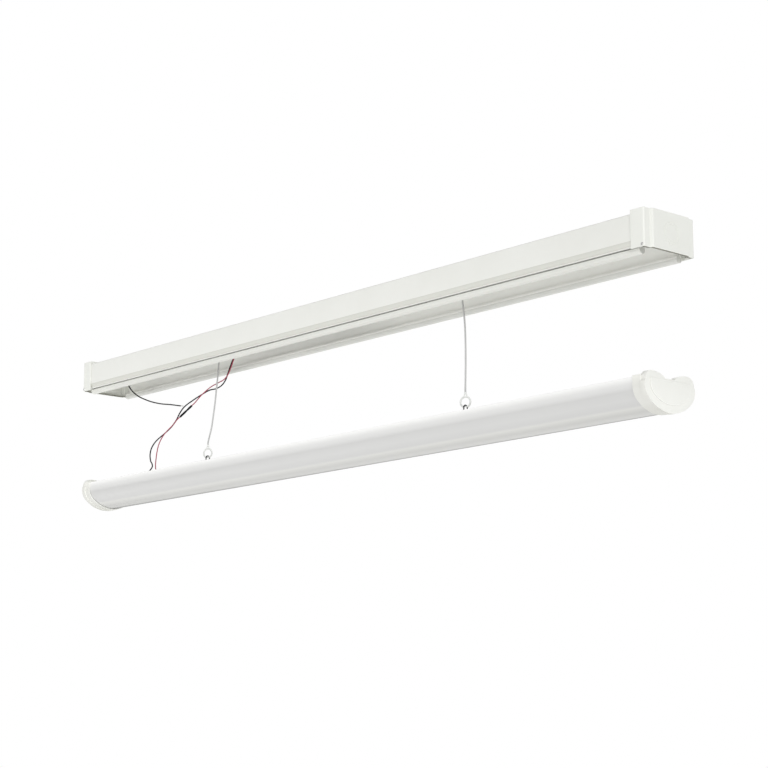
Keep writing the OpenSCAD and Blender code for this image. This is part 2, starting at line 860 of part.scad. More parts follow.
// Block on the first board that takes both leads below their bushings
module input_connector() {
    x0 = min(tray_bushing_x) - tray_bushing_r;
    x1 = max(tray_bushing_x) + tray_bushing_r;
    color([0.93, 0.92, 0.86])
        box([x0, board_width / 2 - 2, board_z - 5], [x1, rail_y - fit, board_z]);
}

/* Light engine under the tray */

function board_x(k) = -(tray_half - board_margin) + k * (board_l + board_gap);
function board_screw_x(k) = [board_x(k) + board_l * 0.2, board_x(k) + board_l * 0.8];

module board_screw_places() {
    for (k = [0:3])
        for (x = board_screw_x(k))
            translate([x, -board_screw_y, board_z])
                children();
}

module led_board(k) {
    color([0.95, 0.95, 0.93])
        difference() {
            box([board_x(k), -board_width / 2, board_z], [board_x(k) + board_l, board_width / 2, tray_under]);
            for (x = board_screw_x(k))
                translate([x, -board_screw_y, board_z - over])
                    cylinder(r = screw_r + hole_gap, h = board_t + 2 * over);
        }
}

module led_board_1() led_board(0);
module led_board_2() led_board(1);
module led_board_3() led_board(2);
module led_board_4() led_board(3);

module leds() {
    pitch = board_l / leds_per_board;
    color([0.95, 0.85, 0.35])
        for (k = [0:3])
            for (j = [0:leds_per_board - 1])
                translate([board_x(k) + (j + 0.5) * pitch - led_size / 2, -led_size / 2, board_z - led_t])
                    cube([led_size, led_size, led_t]);
}

module board_links() {
    color([0.93, 0.92, 0.86])
        for (k = [1:3])
            translate([board_x(k) - board_gap / 2 - link_l / 2, board_width / 2 - 2 - link_w, board_z - link_t])
                cube([link_l, link_w, link_t]);
}

module board_screws() {
    color([0.75, 0.75, 0.75])
        board_screw_places()
            screw(screw_head_r, screw_head_t, screw_r, board_t + tray_sheet + 1);
}

channel();
housing_cap_left();
housing_cap_right();
housing_cap_screws();
feed_bushing();
terminal_block();
terminal_screws();
ground_screw();
supply_leads();
driver_base();
driver_case();
driver_board();
driver_components();
driver_bushings();
driver_screws();
tether_anchor_left();
tether_anchor_right();
tether_left();
tether_right();
lead_black();
lead_red_upper();
red_splice();
lead_red_lower();
lead_tap();
tap_ferrule();
hook_left();
hook_right();
bail_left();
bail_right();
tray();
spring_clips();
clip_rivets();
tray_bushings();
input_connector();
led_board_1();
led_board_2();
led_board_3();
led_board_4();
leds();
board_links();
board_screws();
lens();
bar_cap_left();
bar_cap_right();
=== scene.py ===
import json
import math

import bpy
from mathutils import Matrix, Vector


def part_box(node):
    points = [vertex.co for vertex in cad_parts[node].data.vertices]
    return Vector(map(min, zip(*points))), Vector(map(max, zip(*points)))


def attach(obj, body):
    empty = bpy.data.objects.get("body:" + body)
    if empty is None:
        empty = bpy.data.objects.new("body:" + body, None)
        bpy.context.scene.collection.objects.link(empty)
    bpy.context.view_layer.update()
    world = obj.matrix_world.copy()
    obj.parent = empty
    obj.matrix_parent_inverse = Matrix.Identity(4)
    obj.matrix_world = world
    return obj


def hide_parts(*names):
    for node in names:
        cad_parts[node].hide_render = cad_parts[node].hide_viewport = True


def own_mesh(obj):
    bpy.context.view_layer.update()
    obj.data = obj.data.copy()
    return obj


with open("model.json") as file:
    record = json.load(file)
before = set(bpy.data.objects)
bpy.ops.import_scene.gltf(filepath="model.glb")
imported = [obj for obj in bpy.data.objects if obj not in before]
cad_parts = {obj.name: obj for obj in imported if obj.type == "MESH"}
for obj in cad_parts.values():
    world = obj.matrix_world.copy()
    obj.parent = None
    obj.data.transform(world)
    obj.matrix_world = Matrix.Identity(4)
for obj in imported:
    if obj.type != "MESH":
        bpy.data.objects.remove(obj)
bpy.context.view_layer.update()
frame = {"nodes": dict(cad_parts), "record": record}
SCENE = bpy.context.scene
SCENE.view_settings.view_transform = "Standard"
UP = (0, 0, 1)
DOWN = (0, 0, -1)
SIDES = (-1, 1)           # towards -X or -Y, and towards +X or +Y
NEAR = 0.0001             # faces and edges are picked by their place to within this
HAIR = 0.00001            # points nearer than this are one point

# Widths of the small bevels
FINE_EDGE = 0.0003        # on the diffuser and the skirts over it
SHEET_EDGE = 0.0004       # on folded sheet
BAR_CAP_EDGE = 0.0006
PANEL_EDGE = 0.0007       # round the panel in a bar cap's face


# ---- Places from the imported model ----

def corners(node):
    """Lowest and highest corner of a CAD node, to the micrometre."""
    return [[round(value, 6) for value in corner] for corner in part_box(node)]


def middle_x(node):
    low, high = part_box(node)
    return round((low[0] + high[0]) / 2, 6)


CHANNEL_X, CHANNEL_Y = corners("channel")[1][:2]       # end of the sheet, and outside of its walls
CAP_Z = corners("housing_cap_right")[0][2]             # lower edge of a housing end cap
CAP_FACE_X, CAP_Y = corners("housing_cap_right")[1][:2]
BAR_Z = corners("bar_cap_right")[0][2]                 # underside of the hanging bar
SKIRT_X = corners("bar_cap_right")[0][0]               # where the diffuser enters the bar's end cap
BAR_FACE_X, BAR_Y, EAR_Z = corners("bar_cap_right")[1]
LENS_X, _, LENS_TOP = corners("lens")[1]
TRAY_Z = corners("tray")[1][2]                         # top of the tray
BAIL_X = (middle_x("bail_left"), middle_x("bail_right"))

# Sizes of the channel, as in the CAD model
SHEET = 0.001
ROOF_Z = -0.004           # top of the roof between its pads
ROOF_BEND = 0.0025
FOOT_Z = -0.0374          # height where a wall bends into its foot
FOOT_BEND = 0.007
LIP = (0.0333, -0.0483)   # middle of the rolled lip
LIP_OUTER = 0.0049
TAB_START = 0.597         # the walls' end tabs run from here to the end of the sheet
TAB_Z = -0.0475

# Sizes of the end caps
CAP_WALL = 0.0012
CAP_DEPTH = 0.0215        # along X, from the wings' face back to the open inner edge
CAP_PANEL = 0.0036        # the raised panel stands out by this
CAP_FLANGE_X = CAP_FACE_X - CAP_PANEL
CAP_INNER_X = CAP_FLANGE_X - CAP_DEPTH
BAR_WALL = 0.0016
BAR_PANEL = 0.0012        # the raised panel in the bar cap's face stands out by this
BAR_X = BAR_FACE_X - BAR_PANEL
GRIP = 0.0015             # thickness of the lips and ribs that hold the tray's edges
GRIP_GAP = 0.0003
GRIP_Z = (TRAY_Z + GRIP_GAP, TRAY_Z - SHEET - GRIP_GAP - GRIP)

# The bar's section: a wide arc below, and a smaller arc up to each side
BELLY_R = 0.056
BELLY_Z = BAR_Z + BELLY_R
SIDE_R = 0.022
SIDE_Y = BAR_Y - SIDE_R
SIDE_Z = BELLY_Z - math.sqrt((BELLY_R - SIDE_R) ** 2 - SIDE_Y ** 2)
SIDE_TURN = math.atan2(SIDE_Z - BELLY_Z, SIDE_Y)

# Hooks and bails
RING_Z = TRAY_Z + 0.0247  # middle of a hook's ring
RING_R = 0.007
RING_WIRE = 0.0024
RING_TURN = math.radians(25)
RING_GAP = 28             # half the angle of a ring's mouth, in degrees
TIP_Z = RING_Z - RING_R * math.cos(math.radians(RING_GAP))
TIP_R = 0.001
BAIL_R = 0.0032
BAIL_WIRE = 0.0018
BAIL_GAP = 0.0001


# ---- Camera, at the photograph's viewing angle ----

def make_camera():
    bpy.ops.object.camera_add(
        location=(2.0434, -1.7048, -0.6367),
        rotation=(math.radians(90 + 11.017), 0, math.radians(48.857)),
    )
    camera = bpy.context.object
    camera.name = "camera"
    camera.data.sensor_width = 36
    camera.data.lens = 89.48
    camera.data.clip_end = 50
    SCENE.camera = camera


# ---- Small tools for modelling ----

def start_clean():
    if bpy.context.object and bpy.context.object.mode != "OBJECT":
        bpy.ops.object.mode_set(mode="OBJECT")
    bpy.ops.object.select_all(action="DESELECT")


def pick(piece):
    """Leaves this piece alone selected and active."""
    start_clean()
    piece.select_set(True)
    bpy.context.view_layer.objects.active = piece


def edit(select="SELECT"):
    """Opens the active piece in edit mode, with all of it selected or deselected."""
    bpy.ops.object.mode_set(mode="EDIT")
    bpy.ops.mesh.select_all(action=select)


def close():
    bpy.ops.object.mode_set(mode="OBJECT")


def named(name):
    piece = bpy.context.object
    piece.name = name
    piece.data.name = name
    bpy.ops.object.transform_apply(location=True, rotation=True, scale=True)
    return piece


def draw_line(name, points, closed=False):
    """A line of edges through the points, drawn by extruding one corner from point to point."""
    start_clean()
    bpy.ops.mesh.primitive_plane_add(size=0.0002, location=points[0])
    piece = named(name)
    bpy.ops.object.mode_set(mode="EDIT")
    bpy.ops.mesh.select_mode(type="VERT")
    bpy.ops.mesh.select_all(action="SELECT")
    bpy.ops.mesh.merge(type="CENTER")
    for before, after in zip(points, points[1:]):
        step = Vector(after) - Vector(before)
        bpy.ops.mesh.extrude_vertices_move(TRANSFORM_OT_translate={"value": step})
    if closed:
        bpy.ops.mesh.select_all(action="SELECT")
        bpy.ops.mesh.edge_face_add()
    close()
    return piece


def pull(piece, step):
    """Extrudes all of a drawn line or face by a step, leaving the moved end selected."""
    pick(piece)
    edit()
    bpy.ops.mesh.extrude_region_move(TRANSFORM_OT_translate={"value": step})
    close()


def pull_again(step):
    """Extrudes what the last pull moved, so that a run is made of several stretches."""
    bpy.ops.object.mode_set(mode="EDIT")
    bpy.ops.mesh.extrude_region_move(TRANSFORM_OT_translate={"value": step})
    close()


def pull_edges(step):
    """Extrudes the selected edges of the active piece, which makes walls round an outline."""
    bpy.ops.object.mode_set(mode="EDIT")
    bpy.ops.mesh.extrude_edges_move(TRANSFORM_OT_translate={"value": step})
    close()


def deselect_in(mode):
    """Deselects all of the active piece, for picking its edges or faces one by one."""
    bpy.ops.object.mode_set(mode="EDIT")
    bpy.ops.mesh.select_mode(type=mode)
    bpy.ops.mesh.select_all(action="DESELECT")
    close()


def delete_faces(piece, test):
    """Deletes the faces whose middle passes the test."""
    pick(piece)
    deselect_in("FACE")
    for face in piece.data.polygons:
        face.select = test(face.center)
    bpy.ops.object.mode_set(mode="EDIT")
    bpy.ops.mesh.delete(type="FACE")
    close()


def face_out(piece):
    pick(piece)
    edit()
    bpy.ops.mesh.remove_doubles(threshold=HAIR)
    bpy.ops.mesh.normals_make_consistent(inside=False)
    close()


def flip_faces(piece):
    pick(piece)
    edit()
    bpy.ops.mesh.flip_normals()
    close()


def face_towards(piece, direction, above=-math.inf):
    """Flips an open sheet's faces if those above a height look away from the direction, taken together."""
    faces = [face for face in piece.data.polygons if face.center.z > above]
    if sum(face.normal.dot(Vector(direction)) * face.area for face in faces) < 0:
        flip_faces(piece)


def apply(piece, kind, **settings):
    """Adds a modifier with these settings, and applies it."""
    pick(piece)
    modifier = piece.modifiers.new(kind.lower(), kind)
    for name, value in settings.items():
        setattr(modifier, name, value)
    bpy.ops.object.modifier_apply(modifier=modifier.name)


def thicken(piece, thickness):
    """Gives a sheet its thickness, half to each side."""
    apply(piece, "SOLIDIFY", thickness=thickness, offset=0, use_even_offset=True)


def soften(piece, width, segments, sharper_than):
    """Bevels the edges that are sharper than an angle in degrees."""
    apply(piece, "BEVEL", width=width, segments=segments, limit_method="ANGLE",
          angle_limit=math.radians(sharper_than))


def cut(piece, cutter):
    """Takes the cutter out of the piece, and deletes the cutter."""
    apply(piece, "BOOLEAN", operation="DIFFERENCE", solver="EXACT", object=cutter)
    bpy.data.objects.remove(cutter)


def join(pieces, name):
    start_clean()
    for piece in pieces:
        piece.select_set(True)
    bpy.context.view_layer.objects.active = pieces[0]
    if len(pieces) > 1:
        bpy.ops.object.join()
    return named(name)


def smooth(piece, degrees):
    """Smooth shading over edges flatter than the angle; a small one keeps long faces evenly lit."""
    pick(piece)
    bpy.ops.object.shade_smooth_by_angle(angle=math.radians(degrees))


def mirrored(piece, name):
    """A copy with its own mesh, mirrored to the other end of the light."""
    pick(piece)
    bpy.ops.object.duplicate()
    copy = bpy.context.object
    copy.scale = (-1, 1, 1)
    named(name)
    flip_faces(copy)
    face_out(copy)
    return copy


def rod(x, y, z0, z1, radius, sides=32):
    """An upright cylinder from z0 to z1."""
    start_clean()
    bpy.ops.mesh.primitive_cylinder_add(
        vertices=sides, radius=radius, depth=z1 - z0, location=(x, y, (z0 + z1) / 2)
    )
    return named("rod")


def block(name, low, high):
    start_clean()
    middle = (Vector(low) + Vector(high)) / 2
    bpy.ops.mesh.primitive_cube_add(size=1, location=middle, scale=Vector(high) - Vector(low))
    return named(name)


def arc(middle, radius, start, end, steps):
    """Points of an arc in a section, from angle start to end in degrees."""
    turn = [math.radians(start + (end - start) * k / steps) for k in range(steps + 1)]
    return [(middle[0] + radius * math.cos(a), middle[1] + radius * math.sin(a)) for a in turn]


def in_section(points, x):
    """Section points (y, z) as corners in space at this x."""
    return [(x, y, z) for y, z in points]


def other_side(points):
    return [(-y, z) for y, z in reversed(points)]


def dress(piece, body, nodes):
    """Puts a finished piece on its body, in place of its CAD nodes."""
    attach(piece, body)
    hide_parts(*nodes)
    return piece


# ---- Cords ----

def smooth_line(route, steps=6):
    """The same smooth curve through the route's points as the CAD tubes follow."""
    line = []
    for i in range(len(route) - 1):
        a = Vector(route[max(i - 1, 0)])
        b = Vector(route[i])
        c = Vector(route[i + 1])
        d = Vector(route[min(i + 2, len(route) - 1)])
        for k in range(steps):
            t = k / steps
            line.append(0.5 * (2 * b + (c - a) * t + (2 * a - 5 * b + 4 * c - d) * t ** 2
                               + (3 * b - a - 3 * c + d) * t ** 3))
    line.append(Vector(route[-1]))
    return line


def tube(name, line, diameter, resolution=3, closed=False, radii=None):
    """A round tube along a line, with flat ends."""
    curve = bpy.data.curves.new(name, "CURVE")
    curve.dimensions = "3D"
    curve.bevel_depth = diameter / 2
    curve.bevel_resolution = resolution
    curve.use_fill_caps = not closed
    spline = curve.splines.new("POLY")
    spline.points.add(len(line) - 1)
    for k, point in enumerate(line):
        spline.points[k].co = (*point, 1)
        spline.points[k].radius = radii[k] if radii else 1
    spline.use_cyclic_u = closed
    piece = bpy.data.objects.new(name, curve)
    SCENE.collection.objects.link(piece)
    pick(piece)
    bpy.ops.object.convert(target="MESH")
    piece = named(name)
    face_out(piece)
    smooth(piece, 50)
    return piece


TETHER_LEFT = (
    (-0.291, 0, -0.007), (-0.291, 0, -0.01), (-0.292, 0, -0.02), (-0.295, 0, -0.044), (-0.297, 0, -0.062),
    (-0.3, 0, -0.083), (-0.303, 0, -0.104), (-0.307, 0, -0.124), (-0.311, 0, -0.142), (-0.317, 0, -0.157),
    (-0.3195, 0, -0.1645), (-0.3195, 0, -0.1673),
)
TETHER_RIGHT = (
    (0.247, 0, -0.007), (0.247, 0, -0.01), (0.248, 0, -0.02), (0.251, 0, -0.044), (0.254, 0, -0.066),
    (0.2555, 0, -0.084), (0.256, 0, -0.104), (0.256, 0, -0.126), (0.2555, 0, -0.146), (0.255, 0, -0.162),
    (0.255, 0, -0.1673),
)
BLACK_ROUTE = (
    (-0.224, 0.009, -0.015), (-0.229, 0.009, -0.015), (-0.24, 0.009, -0.017), (-0.252, 0.009, -0.022),
    (-0.263, 0.009, -0.031), (-0.271, 0.009, -0.04), (-0.279, 0.009, -0.052), (-0.285, 0.009, -0.063),
    (-0.29, 0.009, -0.07), (-0.299, 0.009, -0.076), (-0.313, 0.009, -0.079), (-0.331, 0.009, -0.079),
    (-0.351, 0.009, -0.083), (-0.375, 0.009, -0.089), (-0.397, 0.009, -0.096), (-0.41, 0.009, -0.105),
    (-0.418, 0.009, -0.114), (-0.432, 0.009, -0.124), (-0.45, 0.009, -0.132), (-0.473, 0.009, -0.141),
    (-0.486, 0.009, -0.151), (-0.49, 0.009, -0.162), (-0.488, 0.009, -0.172), (-0.484, 0.009, -0.177),
    (-0.483, 0.009, -0.182), (-0.489, 0.009, -0.187), (-0.499, 0.011, -0.19), (-0.508, 0.015, -0.193),
    (-0.512, 0.0175, -0.198), (-0.512, 0.0175, -0.2035),
)
RED_ROUTE = (
    (-0.224, 0.005, -0.015), (-0.228, 0.005, -0.015), (-0.237, 0.005, -0.017), (-0.247, 0.005, -0.022),
    (-0.257, 0.005, -0.031), (-0.264, 0.005, -0.042), (-0.271, 0.005, -0.054), (-0.278, 0.005, -0.063),
    (-0.288, 0.005, -0.069), (-0.303, 0.005, -0.072), (-0.323, 0.005, -0.076), (-0.346, 0.005, -0.085),
    (-0.363, 0.005, -0.0945), (-0.371, 0.005, -0.098), (-0.387, 0.005, -0.105), (-0.403, 0.005, -0.112),
    (-0.411, 0.005, -0.1155), (-0.422, 0.005, -0.1225), (-0.445, 0.005, -0.134), (-0.458, 0.005, -0.146),
    (-0.464, 0.005, -0.158), (-0.467, 0.005, -0.172), (-0.468, 0.005, -0.184), (-0.4685, 0.0075, -0.191),
    (-0.4695, 0.013, -0.196), (-0.47, 0.0175, -0.2), (-0.47, 0.0175, -0.2035),
)
TAP_ROUTE = (
    (-0.565, 0.002, -0.015), (-0.562, 0.002, -0.015), (-0.557, 0.002, -0.021), (-0.548, 0.002, -0.039),
    (-0.54, 0.002, -0.048), (-0.532, 0.003, -0.055), (-0.52, 0.003, -0.062), (-0.507, 0.004, -0.068),
    (-0.485, 0.005, -0.076), (-0.459, 0.006, -0.083), (-0.434, 0.007, -0.0876), (-0.412, 0.009, -0.0922),
    (-0.406, 0.009, -0.0934),
)
FERRULE_ROUTE = ((-0.406, 0.009, -0.0934), (-0.4, 0.009, -0.0946))
SPLICE_ROUTE = ((-0.371, 0.005, -0.098), (-0.403, 0.005, -0.112))

TETHER_D = 0.0024
BLACK_D = 0.002
RED_D = 0.0016
SPLICE_D = 0.0034
# Widths along the sleeve and the ferrule: share of the length, and share of the full width
SPLICE_WIDTHS = (
    (0, 0.6), (0.02, 0.86), (0.06, 1), (0.3, 1), (0.36, 0.84), (0.42, 0.8), (0.48, 0.84),
    (0.54, 1), (0.94, 1), (0.98, 0.86), (1, 0.6),
)
FERRULE_WIDTHS = ((0, 0.95), (0.1, 1), (0.45, 1), (0.5, 0.8), (0.9, 0.8), (1, 0.55))


def make_cord(name, route, diameter, nodes):
    line = smooth_line(route)
    piece = dress(tube(name, line, diameter), "housing", nodes)
    return piece


def make_crimped(name, route, diameter, widths, node):
    """A sleeve on a lead, narrower where it is crimped and at its mouths."""
    start, end = Vector(route[0]), Vector(route[1])
    line = [start.lerp(end, share) for share, _ in widths]
    piece = tube(name, line, diameter, 4, radii=[width for _, width in widths])
    return dress(piece, "housing", [node])


make_camera()
splice = make_crimped("red_splice_sleeve", SPLICE_ROUTE, SPLICE_D, SPLICE_WIDTHS,
                      "red_splice")
ferrule = make_crimped("tap_ferrule_tip", FERRULE_ROUTE, BLACK_D, FERRULE_WIDTHS,
                       "tap_ferrule")
tether_left = make_cord("tether_left_line", TETHER_LEFT, TETHER_D, ["tether_left"])
tether_right = make_cord("tether_right_line", TETHER_RIGHT, TETHER_D, ["tether_right"])
black_lead = make_cord("black_lead", BLACK_ROUTE, BLACK_D, ["lead_black"])
red_lead = make_cord("red_lead", RED_ROUTE, RED_D, ["lead_red_upper", "lead_red_lower"])
black_tap = make_cord("black_tap", TAP_ROUTE, BLACK_D, ["lead_tap"])
for tether, anchor in ((tether_left, TETHER_LEFT[0]), (tether_right, TETHER_RIGHT[0])):
    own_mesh(tether)
for lead_piece in (black_lead, red_lead, black_tap, splice, ferrule):
    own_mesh(lead_piece)


# ---- Materials ----

def add_node(nodes, kind, inputs=None, **settings):
    """A new shader node with its settings, and plain values for some of its inputs."""
    node = nodes.new("ShaderNode" + kind)
    for name, value in settings.items():
        setattr(node, name, value)
    for name, value in (inputs or {}).items():
        node.inputs[name].default_value = value
    return node


def finish_skin():
    """Fine skin of a finish: tone that drifts, roughness that varies and a shallow relief."""
    group = bpy.data.node_groups.new("finish_skin", "ShaderNodeTree")
    face = group.interface
    for name in ("Colour", "Shade"):
        face.new_socket(name, in_out="INPUT", socket_type="NodeSocketColor")
    for name, value in (("Patch Scale", 12), ("Grain Scale", 900), ("Stretch X", 1), ("Roughness", 0.4),
                        ("Roughness Spread", 0.1), ("Relief", 0.1), ("Relief Depth", 0.0001)):
        socket = face.new_socket(name, in_out="INPUT", socket_type="NodeSocketFloat")
        socket.default_value = value
    for name, kind in (("Colour", "Color"), ("Roughness", "Float"), ("Normal", "Vector")):
        face.new_socket(name, in_out="OUTPUT", socket_type="NodeSocket" + kind)
    nodes, links = group.nodes, group.links
    enter = nodes.new("NodeGroupInput")
    leave = nodes.new("NodeGroupOutput")
    place = add_node(nodes, "TexCoord")
    # a small Stretch X draws the grain out along the light, as on the spring clips
    stretch = add_node(nodes, "CombineXYZ", {"Y": 1, "Z": 1})
    scaled = add_node(nodes, "VectorMath", operation="MULTIPLY")
    patches = add_node(nodes, "TexNoise", {"Detail": 5})
    grain = add_node(nodes, "TexNoise", {"Detail": 3})
    drift = add_node(nodes, "MapRange", {"From Min": 0.35, "From Max": 0.75})
    tone = add_node(nodes, "Mix", data_type="RGBA")
    centred = add_node(nodes, "Math", {1: 0.5}, operation="SUBTRACT")
    rough = add_node(nodes, "Math", operation="MULTIPLY_ADD", use_clamp=True)
    bump = add_node(nodes, "Bump")
    links.new(enter.outputs["Stretch X"], stretch.inputs["X"])
    links.new(place.outputs["Object"], scaled.inputs[0])
    links.new(stretch.outputs["Vector"], scaled.inputs[1])
    links.new(place.outputs["Object"], patches.inputs["Vector"])
    links.new(enter.outputs["Patch Scale"], patches.inputs["Scale"])
    links.new(scaled.outputs["Vector"], grain.inputs["Vector"])
    links.new(enter.outputs["Grain Scale"], grain.inputs["Scale"])
    links.new(patches.outputs["Fac"], drift.inputs["Value"])
    links.new(drift.outputs["Result"], tone.inputs["Factor"])
    links.new(enter.outputs["Colour"], tone.inputs["A"])
    links.new(enter.outputs["Shade"], tone.inputs["B"])
    links.new(tone.outputs["Result"], leave.inputs["Colour"])
    links.new(grain.outputs["Fac"], centred.inputs[0])
    links.new(centred.outputs["Value"], rough.inputs[0])
    links.new(enter.outputs["Roughness Spread"], rough.inputs[1])
    links.new(enter.outputs["Roughness"], rough.inputs[2])
    links.new(rough.outputs["Value"], leave.inputs["Roughness"])
    links.new(enter.outputs["Relief"], bump.inputs["Strength"])
    links.new(enter.outputs["Relief Depth"], bump.inputs["Distance"])
    links.new(grain.outputs["Fac"], bump.inputs["Height"])
    links.new(bump.outputs["Normal"], leave.inputs["Normal"])
    return group


FINISH_SKIN = finish_skin()
FINISHES = {}


def make_finish(name, colour, shade, roughness, metallic=0, grain=900, stretch=1, spread=0.1, relief=0.1,
                patch=12, specular=0.5):
    """A finish that drifts between its colour and its shade."""
    material = bpy.data.materials.new(name)
    material.use_nodes = True
    nodes, links = material.node_tree.nodes, material.node_tree.links
    shader = nodes["Principled BSDF"]
    shader.inputs["Metallic"].default_value = metallic
    shader.inputs["Specular IOR Level"].default_value = specular
    skin = add_node(nodes, "Group", node_tree=FINISH_SKIN)
    values = {
        "Colour": (*colour, 1), "Shade": (*shade, 1), "Patch Scale": patch, "Grain Scale": grain,
        "Stretch X": stretch, "Roughness": roughness, "Roughness Spread": spread, "Relief": relief,
    }
    for socket, value in values.items():
        skin.inputs[socket].default_value = value
    links.new(skin.outputs["Colour"], shader.inputs["Base Color"])
    links.new(skin.outputs["Roughness"], shader.inputs["Roughness"])
    links.new(skin.outputs["Normal"], shader.inputs["Normal"])
    FINISHES[name] = material
    return material


# Enamel on the housing: its body, caps and driver; the inside is painted lighter as painted light, and the
# feet, rolled lips and their inner halves are painted darker as painted shade
make_finish("white_paint", (0.86, 0.865, 0.825), (0.83, 0.835, 0.79), 0.42, relief=0.05)
make_finish("inner_painted_light", (0.925, 0.925, 0.895), (0.905, 0.905, 0.875), 0.5, relief=0.05)
make_finish("foot_painted_shade", (0.685, 0.69, 0.635), (0.66, 0.665, 0.61), 0.45, relief=0.05)
make_finish("roll_painted_shade", (0.76, 0.765, 0.72), (0.735, 0.74, 0.695), 0.42, relief=0.05)
make_finish("lip_painted_shade", (0.68, 0.685, 0.65), (0.65, 0.655, 0.62), 0.45, relief=0.05)
make_finish("cap_paint", (0.87, 0.88, 0.835), (0.84, 0.85, 0.8), 0.45, relief=0.08)
# painted shade: near black coat for the flange folded in under a housing cap, for the shadow gap along its
# lower edge
make_finish("fold_painted_shade", (0.16, 0.16, 0.12), (0.13, 0.13, 0.1), 0.5)
make_finish("driver_paint", (0.95, 0.95, 0.92), (0.91, 0.91, 0.88), 0.45)

# Plastics: the bar's end caps, with painted shade on their sides and a painted highlight on their rims,
# the hooks and the small parts inside
make_finish("white_plastic", (0.92, 0.925, 0.88), (0.89, 0.895, 0.85), 0.38, relief=0.08)
make_finish("side_plastic_painted_shade", (0.88, 0.88, 0.84), (0.85, 0.85, 0.81), 0.42, relief=0.08)
# painted highlight: the bar caps' rims are painted brighter than the face
make_finish("rim_painted_highlight", (0.99, 0.995, 0.96), (0.97, 0.975, 0.94), 0.3, relief=0.05)
make_finish("white_nylon", (0.84, 0.85, 0.83), (0.78, 0.79, 0.77), 0.4)
make_finish("black_nylon", (0.02, 0.02, 0.022), (0.035, 0.035, 0.038), 0.5)
make_finish("dark_plastic", (0.05, 0.05, 0.055), (0.08, 0.08, 0.085), 0.45)
make_finish("cream_plastic", (0.72, 0.69, 0.58), (0.66, 0.62, 0.5), 0.45)

# Cords and leads
make_finish("tether_vinyl", (0.54, 0.54, 0.535), (0.47, 0.47, 0.465), 0.4, grain=1500)
make_finish("black_insulation", (0.006, 0.006, 0.007), (0.012, 0.012, 0.013), 0.6, specular=0.12)
make_finish("red_insulation", (0.36, 0.05, 0.09), (0.42, 0.09, 0.13), 0.55, specular=0.2)

# Bare metals
make_finish("dark_wire", (0.03, 0.03, 0.034), (0.06, 0.06, 0.065), 0.4, metallic=0.8)
make_finish("tin_plate", (0.75, 0.75, 0.73), (0.6, 0.6, 0.58), 0.25, metallic=1)
make_finish("steel_screw", (0.55, 0.55, 0.54), (0.4, 0.4, 0.39), 0.35, metallic=1)
make_finish("brass_screw", (0.65, 0.48, 0.2), (0.5, 0.36, 0.15), 0.3, metallic=1)
make_finish("green_screw", (0.05, 0.3, 0.12), (0.03, 0.2, 0.08), 0.4, metallic=0.5)
make_finish("galvanised", (0.6, 0.61, 0.62), (0.48, 0.49, 0.5), 0.4, metallic=0.9, patch=90)
make_finish("spring_steel", (0.55, 0.56, 0.58), (0.42, 0.43, 0.45), 0.28, metallic=1, stretch=0.05)

# Circuit boards and their parts
make_finish("board_green", (0.03, 0.2, 0.09), (0.02, 0.15, 0.07), 0.35)
make_finish("board_white", (0.86, 0.86, 0.83), (0.82, 0.82, 0.79), 0.4)
make_finish("led_phosphor", (0.85, 0.68, 0.15), (0.8, 0.6, 0.1), 0.4)

# Painted light and shade at shares of the diffuser's height: dark low down, a lighter streak low on each
# side, and near white at the upper edge
BASKET_HEIGHT = 0.042
DIFFUSER_PAINTED_SHADING = (
    (0.05, 0.44), (0.1, 0.445), (0.145, 0.525), (0.19, 0.6), (0.24, 0.55),
    (0.38, 0.6), (0.6, 0.605), (0.7, 0.725), (0.8, 0.785), (0.97, 0.98),
)
# painted shade on the bar caps' sides, darker towards the bottom
CAP_SIDE_PAINTED_SHADE = ((0.03, 0.64), (0.25, 0.775), (0.5, 0.82), (0.7, 0.88), (0.95, 1))


def paint_light_and_shade_by_height(material, shading_stops):
    """Paints light and shade: multiplies a finish's colour by a tone for each share of the height; returns
    the last node.
    """
    nodes, links = material.node_tree.nodes, material.node_tree.links
    skin = next(n for n in nodes if n.type == "GROUP")
    place = add_node(nodes, "TexCoord")
    split = add_node(nodes, "SeparateXYZ")
    height = add_node(nodes, "MapRange", {"From Min": BAR_Z, "From Max": BAR_Z + BASKET_HEIGHT})
    ramp = add_node(nodes, "ValToRGB")
    marks = ramp.color_ramp.elements
    while len(marks) < len(shading_stops):
        marks.new(0.5)
    for mark, (share, tone) in zip(marks, shading_stops):
        # the belly is a little warmer than the sides
        warmth = 0.96 if share < 0.2 else 0.99
        mark.position = share
        mark.color = (tone, tone, tone * warmth, 1)
    toned = add_node(nodes, "Mix", {"Factor": 1}, data_type="RGBA", blend_type="MULTIPLY")
    links.new(place.outputs["Object"], split.inputs["Vector"])
    links.new(split.outputs["Z"], height.inputs["Value"])
    links.new(height.outputs["Result"], ramp.inputs["Fac"])
    links.new(skin.outputs["Colour"], toned.inputs["A"])
    links.new(ramp.outputs["Color"], toned.inputs["B"])
    links.new(toned.outputs["Result"], nodes["Principled BSDF"].inputs["Base Color"])
    return toned


